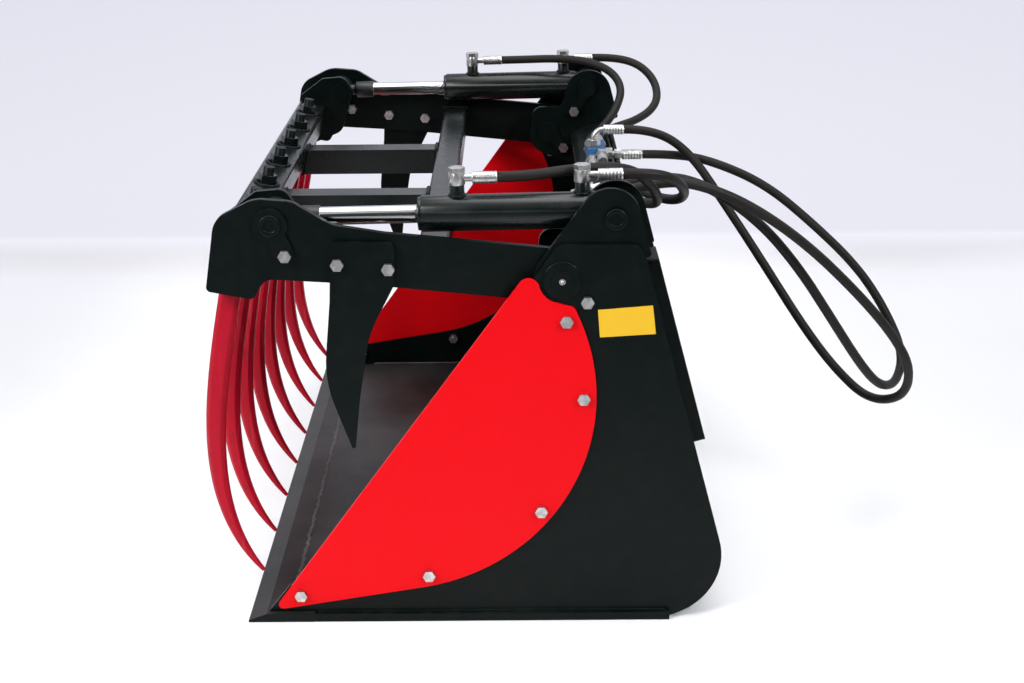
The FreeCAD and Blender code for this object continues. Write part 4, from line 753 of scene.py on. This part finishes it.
class GRAB_OT_hardware(bpy.types.Operator):
    """Plates the bolts and fittings, and finishes the rods and the manifold"""

    bl_idname = "grab.hardware"
    bl_label = "Hardware"

    def execute(self, context):
        colours = settings().paint
        zinc = plated("bright_zinc", colours.zinc, roughness=0.34)
        names = ["side_plate_bolts", "arm_bolts", "pin_lock_bolts", "manifold_fittings",
                 "quick_couplers"]
        names += [f"banjo_fittings_{side}" for side in SIDES]
        dress(names, zinc, 0.0007)
        rod = rod_finish(colours)
        dress([f"{name}_{side}" for name in ("rod", "rod_pin", "piston") for side in SIDES], rod,
              0.0006)
        blue = paint("blue_paint", colours.blue, colours.dust * 0.5, roughness=0.38)
        dress(["manifold_block"], blue, 0.0015)
        return {"FINISHED"}


def base_pin(sign):
    """Middle of a cylinder's base pin; sign is the side."""
    return Vector((BASE_PIN.x, sign * CYLINDER_Y, BASE_PIN.z))


def ferrule_axes():
    """Name, body, start and direction of every ferrule."""
    found = []
    up = CYLINDER_UP * 0.058
    for side, sign in SIDES.items():
        for port, along in PORTS.items():
            start = base_pin(sign) + ROD_AXIS * (along + 0.0255) + up
            found.append((f"{port}_{side}", f"cylinder_{side}", start, ROD_AXIS))
    for name, route in HOSE_ROUTES.items():
        first, second = Vector(route[0]), Vector(route[1])
        last, before = Vector(route[-1]), Vector(route[-2])
        if name.startswith("feed"):
            out = (second - first).normalized()
            found.append((f"{name}_start", "bucket", first - out * FERRULE_SEAT, out))
        out = (before - last).normalized()
        found.append((f"{name}_end", "bucket", last - out * FERRULE_SEAT, out))
    return found


class GRAB_OT_ferrules(bpy.types.Operator):
    """Adds the crimp marks of the hose ferrules"""

    bl_idname = "grab.ferrules"
    bl_label = "Ferrules"

    def execute(self, context):
        zinc = bpy.data.materials["bright_zinc"]
        radius = settings().detail.ferrule
        length, steps, grooves, collar_share, taper_share = 0.0398, 56, 7, 0.12, 0.03

        def crimped(index):
            share = index / steps
            groove = 0.5 - 0.5 * math.cos(math.tau * grooves * share)
            collar = 1.0 if share < collar_share else 0.0
            taper = min(1.0, share / taper_share, (1 - share) / taper_share)
            return radius * (0.93 + 0.045 * groove * (1 - collar) + 0.03 * collar + 0.02 * taper)

        for name, body, start, direction in ferrule_axes():
            line = [start + direction * (length * step / steps) for step in range(steps + 1)]
            points, faces = swept(line, crimped, 28)
            add_mesh(f"ferrule_{name}", points, faces, zinc, body)
        return {"FINISHED"}


def bead(name, body, corners, material, closed=False, flat=1.0, lumps=1.0):
    """Weld bead along a line of straight runs, with the ripples of the weld pool."""
    radius = settings().detail.weld
    pitch = radius * 0.55
    line = []
    ends = corners[1:] + corners[:1] if closed else corners[1:]
    for start, end in zip(corners, ends):
        start, end = Vector(start), Vector(end)
        steps = max(2, round((end - start).length / pitch))
        line += [start.lerp(end, step / steps) for step in range(steps)]
    if not closed:
        line.append(Vector(corners[-1]))

    def ripple(index):
        wave = 0.10 * math.sin(index * 1.9) + 0.05 * math.sin(index * 0.37 + 1)
        wave = lumps * (wave + 0.04 * math.sin(index * 0.83 + 2))
        end = 1.0 if closed else min(1.0, (min(index, len(line) - 1 - index) + 1.5) / 4)
        return radius * flat * (1 + wave) * end

    points, faces = swept(line, ripple, 8, closed)
    return add_mesh(name, points, faces, material, body)


def square(centre, first, second):
    """Corners of the seam around a square tube."""
    half = TUBE_SIDE / 2 + SEAM
    turns = ((-1, -1), (1, -1), (1, 1), (-1, 1))
    return [centre + first * (a * half) + second * (b * half) for a, b in turns]


def circle(centre, radius, axis, steps=36):
    """Points of a circle around a centre."""
    first = axis.orthogonal().normalized()
    second = axis.cross(first).normalized()
    return [
        centre + first * (radius * math.cos(math.tau * step / steps))
        + second * (radius * math.sin(math.tau * step / steps))
        for step in range(steps)
    ]


class GRAB_OT_welds(bpy.types.Operator):
    """Adds the weld beads between the plates"""

    bl_idname = "grab.welds"
    bl_label = "Welds"

    def execute(self, context):
        colours = settings().paint
        black = bpy.data.materials["plate_black"]
        bare = bpy.data.materials["bare_steel"]
        steel = bare_steel("weld_steel", colours.weld, ends=False)
        for side, sign in SIDES.items():
            self.side_seams(side, sign, bare, black)
            self.cylinder_seams(side, sign, black)
            self.grab_seams(side, sign, black)
            self.hitch_seams(side, sign, black)
        self.tine_seams(black)
        self.lap_seam(steel)
        return {"FINISHED"}

    @staticmethod
    def lap_seam(steel):
        """Bare, unsteady bead along the front of the floor, on the cutting edge."""
        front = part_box("shell_sheet")[0].x
        half, steps = 0.588, 300
        line = []
        for step in range(steps + 1):
            y = -half + 2 * half * step / steps
            sway = 0.0012 * math.sin(step * 0.9) + 0.0010 * math.sin(step * 0.31 + 2)
            line.append((front - SEAM + sway, y, 0.0185))
        bead("weld_lap", "bucket", line, steel, flat=1.2, lumps=1.9)

    @staticmethod
    def side_seams(side, sign, steel, black):
        """Floor and back to the side plate, and the boss to the side plate."""
        inner = sign * (PLATE_INNER - SEAM)
        front, reach, steps = -0.262, 0.1055, 12
        bend = BACK_BEND + Vector((0, inner, 0))
        line = [Vector((front, inner, 0.0225)), Vector((bend.x, inner, 0.0225))]
        for step in range(1, steps + 1):
            angle = (math.pi / 2 + BACK_LEAN) * step / steps
            line.append(bend + Vector((math.sin(angle), 0, -math.cos(angle))) * reach)
        line.append(line[-1] + BACK_UP * 0.40)
        bead(f"weld_side_inner_{side}", "bucket", line, steel)
        outer = sign * (PLATE_OUTER + SEAM)
        boss = Vector((PIVOT.x, outer, PIVOT.z))
        bead(f"weld_boss_{side}", "bucket", circle(boss, 0.0295, ACROSS), black, closed=True,
             flat=0.7)
        bead(f"weld_bar_{side}", "bucket", [(front, outer, 0.0155), (0.340, outer, 0.0155)], black,
             flat=0.7)

    @staticmethod
    def cylinder_seams(side, sign, black):
        """Port bosses and eye of the barrel."""
        pin = base_pin(sign)
        for port, along in PORTS.items():
            centre = pin + ROD_AXIS * along + CYLINDER_UP * 0.0292
            bead(f"weld_{port}_port_{side}", f"cylinder_{side}",
                 circle(centre, 0.0128, CYLINDER_UP, 24), black, closed=True, flat=0.8)
        centre = pin - ROD_AXIS * 0.0225
        bead(f"weld_barrel_eye_{side}", f"cylinder_{side}", circle(centre, 0.0255, ROD_AXIS),
             black, closed=True, flat=0.9)

    @staticmethod
    def grab_seams(side, sign, black):
        """Cross tube, frame tube and hub to the arm and the beam."""
        face = sign * (ARM_INNER - SEAM)
        ahead, up = Vector((1, 0, 0)), Vector((0, 0, 1))
        cross = Vector((CROSS_TUBE_X, face, TUBE_HEIGHT))
        bead(f"weld_cross_{side}", "grab", square(cross, ahead, up), black, closed=True)
        middle = sign * FRAME_TUBE_Y
        rear = Vector((CROSS_TUBE_X - TUBE_SIDE / 2 - SEAM, middle, TUBE_HEIGHT))
        corners = square(rear, ACROSS, up)
        bead(f"weld_frame_rear_{side}", "grab", corners, black, closed=True)
        for corner in corners:
            corner.x = -0.3485 + (corner.z - 0.6194) * math.tan(BEAM_LEAN) + SEAM
        bead(f"weld_frame_front_{side}", "grab", corners, black, closed=True)
        hub = PIVOT + Vector((0, face, 0))
        bead(f"weld_hub_{side}", "grab", circle(hub, 0.0285, ACROSS), black, closed=True)

    @staticmethod
    def tine_seams(black):
        """Lumpy ring around the foot of each tine's nut, on the leaning top of the beam."""
        up = Vector((math.sin(BEAM_LEAN), 0, math.cos(BEAM_LEAN)))
        top = Vector((-0.371, 0, 0.655)) + up * 0.0303
        for number in range(1, 9):
            low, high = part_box(f"tine_{number}")
            centre = top + Vector((0, (low.y + high.y) / 2, 0))
            ring = circle(centre, 0.0208, up, 30)
            bead(f"weld_tine_{number}", "grab", ring, black, closed=True)

    @staticmethod
    def hitch_seams(side, sign, black):
        """Both long edges of the tapped strip to the back sheet."""
        foot = BACK_BEND + BACK_OUT * 0.1125
        half = HITCH_WIDTH / 2 + SEAM
        for number, offset in enumerate((-half, half), 1):
            shift = Vector((0, sign * HITCH_Y + offset, 0))
            edge = [foot + BACK_UP * along + shift for along in (0.020, 0.375)]
            bead(f"weld_hitch_{side}_{number}", "bucket", edge, black, flat=0.9)


def turned(name, base, axis, profile, material, body, sides=32):
    """Turned piece: each step of the profile is a height along the axis and a radius."""
    first = axis.orthogonal().normalized()
    second = axis.cross(first).normalized()
    points = []
    for along, radius in profile:
        for step in range(sides):
            angle = math.tau * step / sides
            spoke = first * math.cos(angle) + second * math.sin(angle)
            points.append(base + axis * along + spoke * radius)
    faces = [tuple(range(sides))[::-1], tuple(range(len(points) - sides, len(points)))]
    for ring in range(len(profile) - 1):
        for step in range(sides):
            here, after = ring * sides + step, ring * sides + (step + 1) % sides
            faces.append((here, after, after + sides, here + sides))
    piece = add_mesh(name, points, faces, material, body)
    piece.data.set_sharp_from_angle(angle=math.radians(50))
    return piece


class GRAB_OT_trim(bpy.types.Operator):
    """Adds the turned pin ends, the grease nipples and the blank label"""

    bl_idname = "grab.trim"
    bl_label = "Trim"

    def execute(self, context):
        zinc = bpy.data.materials["bright_zinc"]
        black = bpy.data.materials["plate_black"]
        rod_pin = Vector(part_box("rod_pin_left")[0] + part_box("rod_pin_left")[1]) / 2
        cup = ((-0.0005, 0.0178), (0.0020, 0.0178), (0.0030, 0.0168), (0.0034, 0.0150),
               (0.0034, 0.0118), (0.0026, 0.0104), (0.0004, 0.0096), (0.0002, 0.0020))
        nipple = ((0.0, 0.0052), (0.0022, 0.0052), (0.0024, 0.0034), (0.0046, 0.0036),
                  (0.0060, 0.0022), (0.0068, 0.0008))
        for side, sign in SIDES.items():
            out = Vector((0, sign, 0))
            flag = Vector((rod_pin.x, sign * 0.5850, rod_pin.z))
            turned(f"pin_cup_rod_{side}", flag, out, cup, black, "grab")
            ear = Vector((BASE_PIN.x, sign * 0.5980, BASE_PIN.z))
            turned(f"pin_cup_base_{side}", ear, out, cup, black, "bucket")
            boss = Vector((PIVOT.x, sign * 0.6068, PIVOT.z))
            turned(f"grease_nipple_{side}", boss, out, nipple, zinc, "bucket", 16)
        self.add_label(settings().paint)
        return {"FINISHED"}

    @staticmethod
    def add_label(colours):
        """Blank label on the left side plate."""
        finish = Finish("blank_yellow", Roughness=0.38)
        tone = finish.noise(25.0, 3.0)
        finish.feed("Base Color", finish.mix(tone * 0.5, colours.yellow, (0.66, 0.37, 0.01)))
        corners = [Vector((x, -0.6006, z)) for x, z in
                   ((0.218, 0.5647), (0.3068, 0.5716), (0.3128, 0.5227), (0.2217, 0.5173))]
        back = [corner + Vector((0, 0.0004, 0)) for corner in corners]
        faces = [(0, 3, 2, 1), (4, 5, 6, 7)]
        faces += [(n, (n + 1) % 4, (n + 1) % 4 + 4, n + 4) for n in range(4)]
        add_mesh("blank_label", corners + back, faces, finish.material, "bucket", False)


class GRAB_PT_panel(bpy.types.Panel):
    """Panel with the settings and one button for each group"""

    bl_idname = "GRAB_PT_panel"
    bl_label = "Silage grab bucket"
    bl_space_type = "VIEW_3D"
    bl_region_type = "UI"
    bl_category = "Grab"

    def draw(self, context):
        for group in (settings().paint, settings().detail, settings().stage):
            box = self.layout.box()
            for name in group.bl_rna.properties.keys():
                if name not in ("rna_type", "name"):
                    box.prop(group, name)
        for operator in OPERATORS:
            self.layout.operator(operator.bl_idname)


GROUPS = (PaintSettings, DetailSettings, StageSettings, GrabBucketSettings)
OPERATORS = (
    GRAB_OT_stage, GRAB_OT_hoses, GRAB_OT_black, GRAB_OT_shell, GRAB_OT_guards, GRAB_OT_tines,
    GRAB_OT_hardware, GRAB_OT_ferrules, GRAB_OT_welds, GRAB_OT_trim,
)


def register():
    """Registers the classes and the settings."""
    for cls in (*GROUPS, *OPERATORS, GRAB_PT_panel):
        bpy.utils.register_class(cls)
    bpy.types.Scene.grab_bucket = PointerProperty(type=GrabBucketSettings)


def unregister():
    """Removes them again."""
    del bpy.types.Scene.grab_bucket
    for cls in reversed((*GROUPS, *OPERATORS, GRAB_PT_panel)):
        bpy.utils.unregister_class(cls)


def main():
    """Builds the whole scene."""
    register()
    for operator in OPERATORS:
        group, name = operator.bl_idname.split(".")
        getattr(getattr(bpy.ops, group), name)()


if __name__ == "__main__":
    main()
